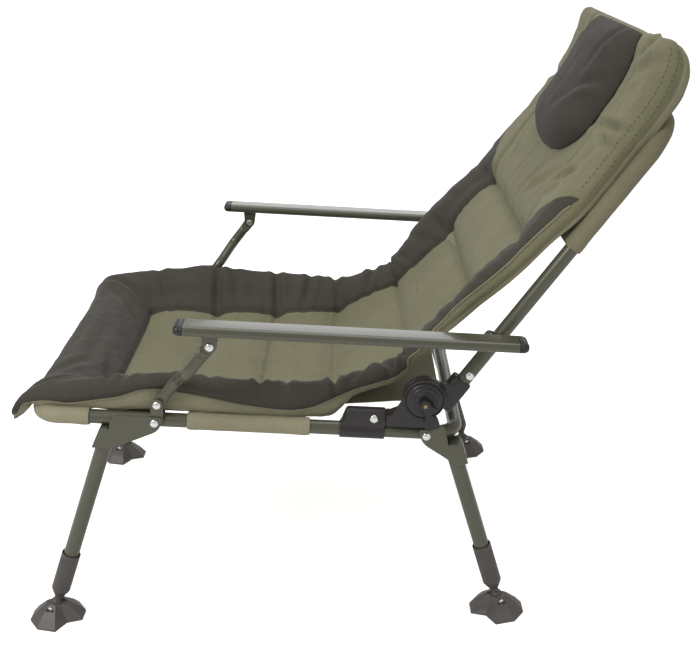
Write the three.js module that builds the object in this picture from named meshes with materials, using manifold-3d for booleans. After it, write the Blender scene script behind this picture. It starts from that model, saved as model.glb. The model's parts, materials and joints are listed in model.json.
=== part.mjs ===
// A reclining carp chair: a tilted seat hoop on four folding, telescopic legs with swivel mud feet,
// a back hoop on two friction recliners, two armrests on a linkage and a one-piece quilted mattress.
// Millimetres, +Z up, the sitter faces -Y and +X is the sitter's left. The ground is Z = 0.

import * as THREE from 'three';
import { mergeVertices } from 'three/addons/utils/BufferGeometryUtils.js';
import Module from 'manifold-3d';

const wasm = await Module();
wasm.setup();

// Driving dimensions of the frame tubes
const railRadius = 11;
const railHalfSpacing = 280;
const seatReach = 580;
const seatTail = 55;
const seatTiltDegrees = 4.2;
const frontCornerRadius = 32;
const rearCornerRadius = 36;
const tubeJointGap = 0.6;

// Recline pivot, in the chair's own frame, and its height over the rail
const pivotY = 210.5;
const pivotZ = 398;
const pivotOverRail = 64.5;

// Back hoop, measured from the recline pivot: up along the tubes, and behind the pivot
const backLeanDegrees = 36.9;
const backReach = 520;
const backTubeBehindPivot = 35.5;
const backTubeStart = 6;
const backCornerRadius = 55;

// General fits and fasteners
const seatingGap = 0.3;
const cutOverrun = 5;
const pinRadius = 4;
const rivetHeadRadius = 6.6;
const rivetHeadHeight = 3.2;
const rivetTailHeight = 2.4;
const washerGap = 0.25;
const weldBite = 0.5;
const weldHalfWidth = 4;
const weldLength = 40;

// Legs: bolt places along the rail from the pivot, lean from the vertical, tube beside the bolt
const legTubeRadius = 12;
const legTubeBore = 10.5;
const innerLegRadius = 10;
const frontBoltU = -401.5;
const rearBoltU = 8.5;
const frontLegLeanDegrees = 20.5;
const rearLegLeanDegrees = 15.5;
const frontTubeBesideBolt = 63;
const rearTubeBesideBolt = 32;
const legBracketSheet = 2.5;
const cheekClearance = 2.8;
const bootLength = 82;
const bootRadius = 14.8;
const bootWall = 1.3;
const bootPocketDepth = 42;
const bootTaperHeight = 12;
const bootMouthRadius = 8.4;
const bootFloorOverBall = 40;
const innerLegLength = 150;
const stemOverBall = 17.5;
const stemRadius = 6;
const ballRadius = 10;
const groundDrop = 11.5;
const ballHeight = 26;
const ballSlotWidth = 5.2;
const ballSlotRise = 8;
const ballSlotFall = 3.6;

// Mud feet
const footRadius = 44;
const footEdge = 3;
const footShoulderHeight = 15;
const footShoulderRadius = 33;
const footRimHeight = 30;
const footRimRadius = 14.5;
const footCupRadius = 10.5;
const footCrownHeight = 25;
const footCrownRadius = 20.5;
const footPinHalf = 18.3;
const footLugHalfWidth = 6.5;
const footPinRadius = 1.9;
const footPinHead = 3.6;
const footPinHeadHeight = 1.8;
const footYawDegrees = 17;
const footSaddleRise = 1.6;
const footSaddleClearance = 0.8;

// Armrests and their front posts
const armrestHalfSpacing = 335;
const armrestWidth = 42;
const armrestThickness = 15;
const armrestFrontY = -146;
const armrestFrontZ = 533;
const armrestLength = 503;
const armrestSlopeDegrees = 4.36;
const capLength = 14;
const capPlug = 10;
const capWall = 1.6;
const postRadius = 9;
const postFlatThickness = 5;
const postTopY = -97.5;
const postTopZ = 501;
const postBottomY = -189;
const postBottomZ = 391.5;
const postBottomX = 287.7;
const postTopInset = 4;
const postEyeRadius = 9.5;
const postFlatLength = 30;
const postFlatReach = 20;
const earSheet = 3;
const lugSheet = 3;
const lugEyeRadius = 9;
const frontLugLength = 23;
const rearPivotFromEnd = 51.3;
const rearPivotUnder = 4.7;
const rearLugInset = 29;
const rearLugLength = 46;
const tabSheet = 3;
const tabBossRadius = 6.5;
const nutRadius = 5.5;
const nutHeight = 6.5;
const postLowBendShare = 0.36;
const postHighBendShare = 0.62;

// Recliners, measured outward from the chair's middle plane
const socketInnerX = 266;
const socketOuterX = 294;
const socketDiscX = 287;
const socketDiscOuterX = 299.6;
const socketDiscRadius = 32;
const socketBlockFront = 17;
const socketBlockRear = 12.8;
const socketMouth = 52;
const socketFoot = -4;
const baseDiscRadius = 31;
const baseCheekX = 304;
const baseFaceX = 316;
const tongueInnerX = 276;
const tongueBottom = 11.5;
const neckBottom = 17.7;
const socketClearU = 10.5;
const socketClearV = 27;
const tongueTop = 34.5;
const tongueOuterX = 291;
const tongueFrontU = -118;
const neckFrontU = -54;
const clampInnerX = 273.4;
const clampOuterX = 293.6;
const clampFrontU = -123;
const clampRearU = -55;
const clampTop = 37.4;
const clampChamferU = 11;
const clampChamferV = 24;
const clampWall = 2.6;
const clampRivetU = -72;
const clampRivetV = 23.8;
const pivotBoltRadius = 5;
const pivotNutRadius = 8;
const pivotNutHeight = 6;
const socketBoltAlong = 65;
const leverHubRadius = 8.5;
const leverHubHeight = 13;
const leverBladeHeight = 7;
const leverReach = 36;
const leverPaddleHalf = 8.5;
const leverNeckHalf = 4.5;
const leverHeelReach = 19;
const leverAngleDegrees = -70;
const leverHeelDegrees = -28;

// Soft goods
const padDepth = 50;
const padHalfWidth = 275;
const padCreaseGap = 0.3;
const slingSheet = 2;
const slingTop = 10.6;
const slingHalfWidth = 260;
const slingSleeveWall = 1.8;
const slingRearU = 38;
const noseSleeveEndU = -501;
const midSleeveStartU = -353;
const midSleeveEndU = -168;
const coverHem = 304;
const coverWall = 1.8;
const coverFit = 0.4;
const coverPanelSheet = 2.4;
const pillowHalfWidth = 160;
const pillowRise = 36;
const pillowGap = 0.5;
const pillowBottomShare = 0.73;

const tubeSides = 12;
const roundSides = 12;
const discSides = 20;
const holeSides = 10;
const smallSides = 8;
const bendSteps = 5;
const ballSides = 12;
const ballBands = 8;
const ballArcSteps = 6;
const cornerSteps = 3;
const radians = (degrees) => degrees * Math.PI / 180;
const middle = (a, b) => (a + b) / 2;
const sides = { left: 1, right: -1 };

// Frames: the seat frame runs u along the rails from the pivot and v square above them,
// the back frame runs a up along the tubes and p behind the pivot
const seatTilt = radians(seatTiltDegrees);
const backLean = radians(backLeanDegrees);
const seatOrigin = new THREE.Vector3(
  0,
  pivotY - pivotOverRail * Math.sin(seatTilt),
  pivotZ - pivotOverRail * Math.cos(seatTilt),
);
const backOrigin = new THREE.Vector3(0, pivotY, pivotZ);
const xAxis = new THREE.Vector3(1, 0, 0);
const seatPoint = (x, u, v) => new THREE.Vector3(x, u, v).applyAxisAngle(xAxis, -seatTilt).add(seatOrigin);
const backPoint = (x, p, a) => new THREE.Vector3(x, p, a).applyAxisAngle(xAxis, -backLean).add(backOrigin);

const chair = new THREE.Group();
const seatGroup = new THREE.Group();
seatGroup.position.copy(seatOrigin);
seatGroup.rotation.x = -seatTilt;
const backGroup = new THREE.Group();
backGroup.position.copy(backOrigin);
backGroup.rotation.x = -backLean;
const bodyGroup = new THREE.Group();
chair.add(bodyGroup);
bodyGroup.add(seatGroup, backGroup);
seatGroup.updateMatrix();

// Finishes
const finish = (color, roughness, metalness) => (
  new THREE.MeshStandardMaterial({ color, roughness, metalness }));
const finishes = {
  paint: () => finish(0x4b4e3c, 0.35, 0.25),
  plastic: () => finish(0x35302d, 0.6, 0),
  black: () => finish(0x1d1c1b, 0.5, 0),
  rivet: () => finish(0xd8d8d4, 0.3, 0.9),
  steel: () => finish(0x9a9a96, 0.35, 0.9),
  brownCloth: () => finish(0x4b4441, 0.9, 0),
  oliveCloth: () => finish(0x87826c, 0.9, 0),
};

function place(parent, name, geometry, finishName) {
  const mesh = new THREE.Mesh(geometry, finishes[finishName]());
  mesh.name = name;
  parent.add(mesh);
  return mesh;
}

// Solids: welded mesh to a solid and back, joins and cuts
function solidOf(geometry) {
  const bare = geometry.clone();
  for (const attribute of ['normal', 'uv']) bare.deleteAttribute(attribute);
  const welded = mergeVertices(bare, 1e-4);
  const corners = welded.index.array;
  const kept = [];
  for (let i = 0; i < corners.length; i += 3) {
    const [a, b, c] = [corners[i], corners[i + 1], corners[i + 2]];
    if (a !== b && b !== c && c !== a) kept.push(a, b, c);
  }
  return new wasm.Manifold(new wasm.Mesh({
    numProp: 3,
    vertProperties: Float32Array.from(welded.attributes.position.array),
    triVerts: Uint32Array.from(kept),
  }));
}

function geometryOf(solid) {
  const mesh = solid.getMesh();
  const geometry = new THREE.BufferGeometry();
  const places = [];
  for (let i = 0; i < mesh.vertProperties.length; i += mesh.numProp) {
    places.push(mesh.vertProperties[i], mesh.vertProperties[i + 1], mesh.vertProperties[i + 2]);
  }
  geometry.setAttribute('position', new THREE.Float32BufferAttribute(places, 3));
  geometry.setIndex(Array.from(mesh.triVerts));
  return geometry;
}

const join = (...parts) => geometryOf(parts.map(solidOf).reduce((whole, next) => whole.add(next)));
const cut = (base, ...tools) => geometryOf(
  tools.map(solidOf).reduce((left, next) => left.subtract(next), solidOf(base)));

// A closed body through rings of equal count, capped at both ends
function loft(rings) {
  const count = rings[0].length;
  const points = rings.flat();
  const faces = [];
  for (let i = 0; i + 1 < rings.length; i += 1) {
    for (let j = 0; j < count; j += 1) {
      const next = (j + 1) % count;
      const [a, b] = [i * count + j, i * count + next];
      const [c, d] = [a + count, b + count];
      faces.push(a, b, d, a, d, c);
    }
  }
  const ends = [[rings[0], 0, true], [rings.at(-1), (rings.length - 1) * count, false]];
  for (const [ring, start, turned] of ends) {
    const hub = points.length;
    points.push(ring.reduce((sum, p) => sum.add(p), new THREE.Vector3()).divideScalar(count));
    for (let j = 0; j < count; j += 1) {
      const [a, b] = [start + j, start + (j + 1) % count];
      faces.push(...(turned ? [hub, b, a] : [hub, a, b]));
    }
  }
  let volume = 0;
  for (let i = 0; i < faces.length; i += 3) {
    const [a, b, c] = [points[faces[i]], points[faces[i + 1]], points[faces[i + 2]]];
    volume += a.dot(new THREE.Vector3().crossVectors(b, c));
  }
  if (volume < 0) faces.reverse();
  const geometry = new THREE.BufferGeometry();
  const values = points.flatMap((p) => [p.x, p.y, p.z]);
  geometry.setAttribute('position', new THREE.Float32BufferAttribute(values, 3));
  geometry.setIndex(faces);
  return geometry;
}

// Stations along a bent line: straight runs joined by arcs of the bend radius
function bentLine(points, bendRadius) {
  const stations = [];
  const last = points.length - 1;
  const heading = (i) => points[i + 1].clone().sub(points[i]).normalize();
  stations.push([points[0].clone(), heading(0)]);
  for (let i = 1; i < last; i += 1) {
    const [before, after] = [heading(i - 1), heading(i)];
    const turn = before.angleTo(after);
    const axis = new THREE.Vector3().crossVectors(before, after).normalize();
    const start = points[i].clone().addScaledVector(before, -bendRadius * Math.tan(turn / 2));
    const centre = start.clone().addScaledVector(new THREE.Vector3().crossVectors(axis, before), bendRadius);
    for (let step = 0; step <= bendSteps; step += 1) {
      const angle = turn * step / bendSteps;
      const spot = start.clone().sub(centre).applyAxisAngle(axis, angle).add(centre);
      stations.push([spot, before.clone().applyAxisAngle(axis, angle)]);
    }
  }
  stations.push([points[last].clone(), heading(last - 1)]);
  return stations;
}

// A round bar along a bent line; squash flattens the section across X by station
function bar(points, bendRadius, radius, flatten = () => [radius, radius]) {
  const stations = bentLine(points, bendRadius);
  let normal = new THREE.Vector3().crossVectors(stations[0][1], xAxis);
  if (normal.length() < 0.5) normal = new THREE.Vector3(0, 1, 0);
  normal.normalize();
  let heading = stations[0][1];
  const rings = stations.map(([centre, along], i) => {
    normal.applyQuaternion(new THREE.Quaternion().setFromUnitVectors(heading, along)).normalize();
    heading = along;
    const across = new THREE.Vector3().crossVectors(along, normal);
    const [wide, thick] = flatten(i, stations.length);
    return Array.from({ length: tubeSides }, (_, k) => {
      const angle = 2 * Math.PI * (k + 0.5) / tubeSides;
      return centre.clone()
        .addScaledVector(normal, wide * Math.cos(angle))
        .addScaledVector(across, thick * Math.sin(angle));
    });
  });
  return loft(rings);
}

// A plate: an outline of [y, z] points pushed out along X between two places
const intoX = new THREE.Matrix4().makeBasis(
  new THREE.Vector3(0, 1, 0), new THREE.Vector3(0, 0, 1), new THREE.Vector3(1, 0, 0),
);
function plate(outline, x0, x1, count = discSides) {
  const shape = outline instanceof THREE.Shape
    ? outline
    : new THREE.Shape(outline.map(([y, z]) => new THREE.Vector2(y, z)));
  const [low, high] = [Math.min(x0, x1), Math.max(x0, x1)];
  const settings = { depth: high - low, bevelEnabled: false, curveSegments: count / 2 };
  const geometry = new THREE.ExtrudeGeometry(shape, settings);
  return geometry.applyMatrix4(intoX).translate(low, 0, 0);
}

function disc(y, z, radius, x0, x1, count = discSides) {
  const shape = new THREE.Shape();
  shape.absarc(y, z, radius, 0, 2 * Math.PI);
  return plate(shape, x0, x1, count);
}

const block = (x0, x1, y0, y1, z0, z1) => new THREE.BoxGeometry(
  Math.abs(x1 - x0), Math.abs(y1 - y0), Math.abs(z1 - z0),
).translate(middle(x0, x1), middle(y0, y1), middle(z0, z1));

// Points of an outline of [y, z, rounding]: the rounding is a share of the shorter edge beside the corner
function rounded(corners) {
  return corners.flatMap(([y, z, share = 0], i) => {
    if (share === 0) return [[y, z]];
    const here = new THREE.Vector2(y, z);
    const [by, bz] = corners.at(i - 1);
    const [ay, az] = corners[(i + 1) % corners.length];
    const back = new THREE.Vector2(by, bz).sub(here);
    const on = new THREE.Vector2(ay, az).sub(here);
    const reach = share * Math.min(back.length(), on.length());
    const [start, end] = [back, on].map((edge) => edge.clone().setLength(reach).add(here));
    return Array.from({ length: cornerSteps + 1 }, (_, k) => {
      const t = k / cornerSteps;
      const spot = start.clone().multiplyScalar((1 - t) ** 2)
        .addScaledVector(here, 2 * t * (1 - t)).addScaledVector(end, t ** 2);
      return [spot.x, spot.y];
    });
  });
}

// A turned piece on an axis along X from a profile of [radius, x]
function turned(profile, y, z, count = roundSides) {
  const lathe = new THREE.LatheGeometry(profile.map(([r, x]) => new THREE.Vector2(r, x)), count);
  return lathe.rotateZ(-Math.PI / 2).translate(0, y, z);
}

// A rivet or bolt across X: a domed head at x1, a shank, a small tail at x0
function rivet(y, z, x0, x1, radius = pinRadius, head = rivetHeadRadius) {
  const out = Math.sign(x1 - x0);
  const dome = x1 + out * rivetHeadHeight;
  const tail = x0 - out * rivetTailHeight;
  const profile = [
    [0, tail], [head * 0.75, tail], [head * 0.85, x0], [radius, x0], [radius, x1], [head, x1],
    [head, x1 + out * rivetHeadHeight * 0.35], [head * 0.72, x1 + out * rivetHeadHeight * 0.8], [0, dome],
  ];
  return turned(out > 0 ? profile : profile.reverse(), y, z, smallSides);
}
const roundClear = (radius, count) => (radius + seatingGap) / Math.cos(Math.PI / count);
const hole = (y, z, x0, x1, radius = pinRadius) => (
  disc(y, z, roundClear(radius, holeSides), x0, x1, holeSides));

// Seat hoop
const railX = railHalfSpacing;
const tubeJointU = middle(clampFrontU, clampRearU);
const boltHoles = [frontBoltU, rearBoltU].flatMap((u) => Object.values(sides).map((side) => (
  hole(u, 0, side * (railX - railRadius - cutOverrun), side * (railX + railRadius + cutOverrun)))));
const hoopNose = (start, reach) => [
  new THREE.Vector3(railX, start, 0), new THREE.Vector3(railX, -reach, 0),
  new THREE.Vector3(-railX, -reach, 0), new THREE.Vector3(-railX, start, 0),
];
const hoopFront = bar(hoopNose(tubeJointU, seatReach), frontCornerRadius, railRadius);
// Welded ear over each front bolt, which carries the armrest's post
const armSlope = radians(armrestSlopeDegrees);
const postTopX = armrestHalfSpacing - postTopInset;
const rearLugX = armrestHalfSpacing - rearLugInset;
const rearPivot = new THREE.Vector3(0, armrestLength - rearPivotFromEnd, -rearPivotUnder)
  .applyAxisAngle(xAxis, -armSlope)
  .add(new THREE.Vector3(0, armrestFrontY, armrestFrontZ));
const postVector = new THREE.Vector2(postTopY - postBottomY, postTopZ - postBottomZ);
const postLength = postVector.length();
const earPlace = new THREE.Vector3(0, postBottomY, postBottomZ)
  .sub(seatOrigin)
  .applyAxisAngle(xAxis, seatTilt);
const earX = [railX + railRadius - weldBite, railX + railRadius - weldBite + earSheet];
const earOutline = rounded([
  [earPlace.y - postEyeRadius, -railRadius / 2], [earPlace.y + postEyeRadius, -railRadius / 2],
  [earPlace.y + postEyeRadius, earPlace.z + postEyeRadius, 0.48],
  [earPlace.y - postEyeRadius, earPlace.z + postEyeRadius, 0.48],
]);
const ears = Object.values(sides).map((side) => plate(earOutline, side * earX[0], side * earX[1]));
const earHoles = Object.values(sides).map((side) => hole(
  earPlace.y, earPlace.z, side * (earX[0] - cutOverrun), side * (earX[1] + cutOverrun)));
const hoopRear = bar([
  new THREE.Vector3(railX, tubeJointU + tubeJointGap, 0), new THREE.Vector3(railX, seatTail, 0),
  new THREE.Vector3(-railX, seatTail, 0), new THREE.Vector3(-railX, tubeJointU + tubeJointGap, 0),
], rearCornerRadius, railRadius);
const frontHoles = [...boltHoles.slice(0, 2), ...earHoles];
place(seatGroup, 'seat_frame_front', cut(join(hoopFront, ...ears), ...frontHoles), 'paint');
place(seatGroup, 'seat_frame_rear', cut(hoopRear, ...boltHoles.slice(2)), 'paint');

// Seat sling: a stretched panel with sleeves round the rails, cut out at the brackets and clamps
const sleeveBore = railRadius + seatingGap;
const slingParts = [
  block(-slingHalfWidth, slingHalfWidth, -seatReach, slingRearU, slingTop - slingSheet, slingTop),
  bar(hoopNose(noseSleeveEndU, seatReach), frontCornerRadius, sleeveBore + slingSleeveWall),
];
const slingBores = [bar(hoopNose(noseSleeveEndU + cutOverrun, seatReach), frontCornerRadius, sleeveBore)];
for (const side of Object.values(sides)) {
  const run = (...ends) => ends.map((u) => new THREE.Vector3(side * railX, u, 0));
  slingParts.push(bar(run(midSleeveStartU, midSleeveEndU), 1, sleeveBore + slingSleeveWall));
  slingBores.push(bar(run(midSleeveStartU - cutOverrun, midSleeveEndU + cutOverrun), 1, sleeveBore));
  for (const [start, end] of [[-seatReach, noseSleeveEndU], [midSleeveStartU, midSleeveEndU]]) {
    const inner = side * (slingHalfWidth - slingSheet);
    slingParts.push(block(inner, side * railX, start, end, slingTop - slingSheet, slingTop));
  }
}
place(seatGroup, 'seat_sling', cut(join(...slingParts), ...slingBores), 'oliveCloth');

// The mattress: rows of [along, half width, edge, crest, middle, underside], as shares of the
// seat's reach, of the pad's half width and, for the four heights, of the pad's depth
const slingShare = (slingTop + seatingGap) / padDepth;
const seatRowShares = [
  [-1.048, 0.938, -0.30, -0.18, -0.26, -0.34],
  [-1.041, 0.965, -0.24, 0.22, 0.04, -0.26],
  [-1.029, 0.982, -0.10, 0.47, 0.28, -0.04],
  [-1.017, 0.989, 0.21, 0.64, 0.44, 0.30],
  [-0.983, 0.996, 0.38, 0.82, 0.62, 0.31],
  [-0.922, 1.000, 0.34, 0.98, 0.72, slingShare],
  [-0.879, 1.000, 0.42, 1.06, 0.58, slingShare],
  [-0.836, 1.000, 0.52, 1.14, 0.38, slingShare],
  [-0.790, 1.000, 0.63, 1.21, 0.52, slingShare],
  [-0.733, 0.996, 0.88, 1.32, 0.58, slingShare],
  [-0.676, 0.993, 0.92, 1.40, 0.54, slingShare],
  [-0.629, 0.993, 0.86, 1.40, 0.40, slingShare],
  [-0.583, 0.993, 0.78, 1.37, 0.54, slingShare],
  [-0.531, 0.993, 0.67, 1.32, 0.58, slingShare],
  [-0.479, 0.993, 0.56, 1.28, 0.54, slingShare],
  [-0.431, 0.993, 0.49, 1.28, 0.42, slingShare],
  [-0.383, 0.993, 0.44, 1.26, 0.56, slingShare],
  [-0.331, 0.988, 0.43, 1.27, 0.60, slingShare],
  [-0.279, 0.966, 0.53, 1.29, 0.56, slingShare],
  [-0.231, 0.935, 0.78, 1.33, 0.46, 0.24],
  [-0.181, 0.922, 1.06, 1.48, 0.80, 0.33],
  [-0.114, 0.922, 1.35, 1.81, 1.16, 0.48],
  [-0.066, 0.922, 1.60, 2.00, 1.36, 0.62],
];
const creaseShares = {
  halfWidth: 0.922, edge: [-0.041, 1.84], crest: [-0.055, 2.08], top: [-0.043, 1.48], under: [-0.021, 0.72],
};
// The same for the back pad, as shares of the back's reach; forward of the pivot is minus
const coverFront = backTubeBehindPivot - railRadius - coverFit - coverWall;
const coverShare = (coverFront - seatingGap) / padDepth;
const backRowShares = [
  [0.038, 0.927, -0.80, -1.04, -0.46, 0.08],
  [0.087, 0.938, -0.74, -1.00, -0.36, 0.16],
  [0.163, 0.967, -0.72, -1.04, -0.28, 0.24],
  [0.215, 0.985, -0.62, -1.01, -0.18, 0.27],
  [0.258, 0.994, -0.54, -0.94, 0.00, 0.28],
  [0.304, 0.996, -0.44, -0.90, -0.22, 0.30],
  [0.375, 0.996, -0.23, -0.81, -0.28, 0.33],
  [0.452, 0.996, -0.05, -0.62, -0.20, 0.37],
  [0.502, 0.996, 0.03, -0.53, 0.00, 0.40],
  [0.548, 0.996, 0.09, -0.52, -0.24, 0.42],
  [0.654, 1.000, 0.28, -0.48, -0.38, coverShare],
  [0.769, 1.000, 0.32, -0.40, -0.40, coverShare],
  [0.885, 1.004, 0.28, -0.36, -0.40, coverShare],
  [1.000, 1.004, 0.28, -0.48, -0.48, coverShare],
  [1.077, 1.000, 0.16, -0.68, -0.64, 0.40],
  [1.125, 0.989, -0.06, -0.88, -0.80, 0.12],
  [1.147, 0.967, -0.28, -0.90, -0.82, -0.12],
  [1.160, 0.939, -0.51, -0.78, -0.70, -0.39],
];
// Section across the mattress: [place across, share of edge, crest, top, under], near side to middle
const topWeightShares = [
  [1.000, 1.00, 0.00, 0.00, 0.00],
  [1.020, 0.62, 0.38, 0.00, 0.00],
  [1.000, 0.20, 0.80, 0.00, 0.00],
  [0.955, 0.00, 1.00, 0.00, 0.00],
  [0.900, 0.00, 0.97, 0.03, 0.00],
  [0.840, 0.00, 0.80, 0.20, 0.00],
  [0.770, 0.00, 0.42, 0.58, 0.00],
  [0.700, 0.00, 0.12, 0.88, 0.00],
  [0.550, 0.00, 0.00, 1.00, 0.00],
  [0.250, 0.00, 0.00, 1.00, 0.00],
];
const underWeightShares = [
  [0.500, 0.00, 0.00, 0.00, 1.00],
  [0.860, 0.12, 0.00, 0.00, 0.88],
  [0.950, 0.50, 0.00, 0.00, 0.50],
];

// One ring of the mattress from its four anchor points [along, height] in a frame
function padRing(halfWidth, edge, crest, top, under, toPoint) {
  const point = (share, weights, side) => {
    const anchors = [edge, crest, top, under];
    const sum = (k) => anchors.reduce((total, anchor, i) => total + weights[i] * anchor[k], 0);
    return toPoint(side * share * halfWidth, sum(0), sum(1));
  };
  const half = (rows, side) => rows.map(([share, ...weights]) => point(share, weights, side));
  return [
    ...half(topWeightShares, 1),
    point(0, [0, 0, 1, 0], 1),
    ...half(topWeightShares, -1).reverse(),
    ...half(underWeightShares, -1).reverse(),
    point(0, [0, 0, 0, 1], 1),
    ...half(underWeightShares, 1),
  ];
}
const rowRing = ([along, halfWidth, ...heights], reach, toPoint) => padRing(
  halfWidth * padHalfWidth, ...heights.map((height) => [along * reach, height * padDepth]), toPoint);
const creaseRing = (shift) => {
  const anchor = ([along, height]) => [along * seatReach + shift, height * padDepth];
  const { halfWidth, edge, crest, top, under } = creaseShares;
  return padRing(halfWidth * padHalfWidth, ...[edge, crest, top, under].map(anchor), seatPoint);
};
const onBack = (x, along, behind) => backPoint(x, behind, along);
place(bodyGroup, 'seat_pad', loft([
  ...seatRowShares.map((row) => rowRing(row, seatReach, seatPoint)), creaseRing(0),
]), 'brownCloth');
place(bodyGroup, 'back_pad', loft([
  creaseRing(padCreaseGap), ...backRowShares.map((row) => rowRing(row, backReach, onBack)),
]), 'brownCloth');

// Head pillow, sewn on the pad's face: its back follows the pad's middle line
function padFace(along) {
  const rows = backRowShares.map(([at, , , , top]) => [at * backReach, top * padDepth]);
  const after = rows.findIndex(([at]) => at >= along);
  const [[a0, p0], [a1, p1]] = [rows[after - 1], rows[after]];
  return p0 + (p1 - p0) * (along - a0) / (a1 - a0);
}
const pillowRowShares = [
  [pillowBottomShare, 0.72, 0.16],
  [0.745, 0.88, 0.62],
  [0.769, 0.96, 0.86],
  [0.827, 1.00, 0.98],
  [0.885, 1.00, 1.00],
  [1.000, 0.99, 0.96],
  [1.077, 0.97, 0.84],
  [1.125, 0.92, 0.60],
  [1.147, 0.84, 0.30],
];
const pillowSpreadShares = [[1.00, 0.05], [0.985, 0.42], [0.90, 0.80], [0.62, 0.97], [0.30, 1.00]];
const pillowRings = pillowRowShares.map(([share, width, rise]) => {
  const along = share * backReach;
  const face = padFace(along) - pillowGap;
  const point = (x, lift) => onBack(x * width * pillowHalfWidth, along, face - lift * rise * pillowRise);
  const half = (side) => pillowSpreadShares.map(([x, lift]) => point(side * x, lift));
  return [point(1, 0), ...half(1), point(0, 1), ...half(-1).reverse(), point(-1, 0), point(0, 0)];
});
place(bodyGroup, 'head_pillow', loft(pillowRings), 'brownCloth');

// Back hoop and the fabric cover over its upper part
const backX = railHalfSpacing;
const hoopPath = (start) => [
  new THREE.Vector3(backX, backTubeBehindPivot, start),
  new THREE.Vector3(backX, backTubeBehindPivot, backReach),
  new THREE.Vector3(-backX, backTubeBehindPivot, backReach),
  new THREE.Vector3(-backX, backTubeBehindPivot, start),
];
const tubeOverrun = railRadius + cutOverrun;
const socketBoltHoles = Object.values(sides).map((side) => hole(
  backTubeBehindPivot, socketBoltAlong, side * (backX - tubeOverrun), side * (backX + tubeOverrun)));
// Welded tab on each tube, with the boss that the armrest's rear lug turns beside
const tabPlace = rearPivot.clone().sub(backOrigin).applyAxisAngle(xAxis, backLean);
const tabX = [backX + railRadius - weldBite, backX + railRadius - weldBite + tabSheet];
const tabOutline = rounded([
  [backTubeBehindPivot + railRadius / 2, tabPlace.z - postFlatLength / 2, 0.12],
  [backTubeBehindPivot + railRadius / 2, tabPlace.z + postFlatLength / 2, 0.12],
  [tabPlace.y - tabBossRadius, tabPlace.z + tabBossRadius, 0.45],
  [tabPlace.y - tabBossRadius, tabPlace.z - tabBossRadius, 0.45],
]);
const tabs = Object.values(sides).flatMap((side) => [
  plate(tabOutline, side * tabX[0], side * tabX[1]),
  disc(tabPlace.y, tabPlace.z, tabBossRadius, side * tabX[0], side * (rearLugX - seatingGap)),
]);
place(backGroup, 'back_frame', cut(
  join(bar(hoopPath(backTubeStart), backCornerRadius, railRadius), ...tabs), ...socketBoltHoles), 'paint');
const coverOuter = bar(hoopPath(coverHem), backCornerRadius, railRadius + coverFit + coverWall);
const coverInner = bar(hoopPath(coverHem - cutOverrun), backCornerRadius, railRadius + coverFit);
const coverCorner = backCornerRadius * 0.3;
const coverPanel = block(
  -backX + coverCorner, backX - coverCorner, coverFront, coverFront + coverPanelSheet, coverHem, backReach);
place(backGroup, 'back_cover', cut(join(coverOuter, coverPanel), coverInner), 'oliveCloth');

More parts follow.
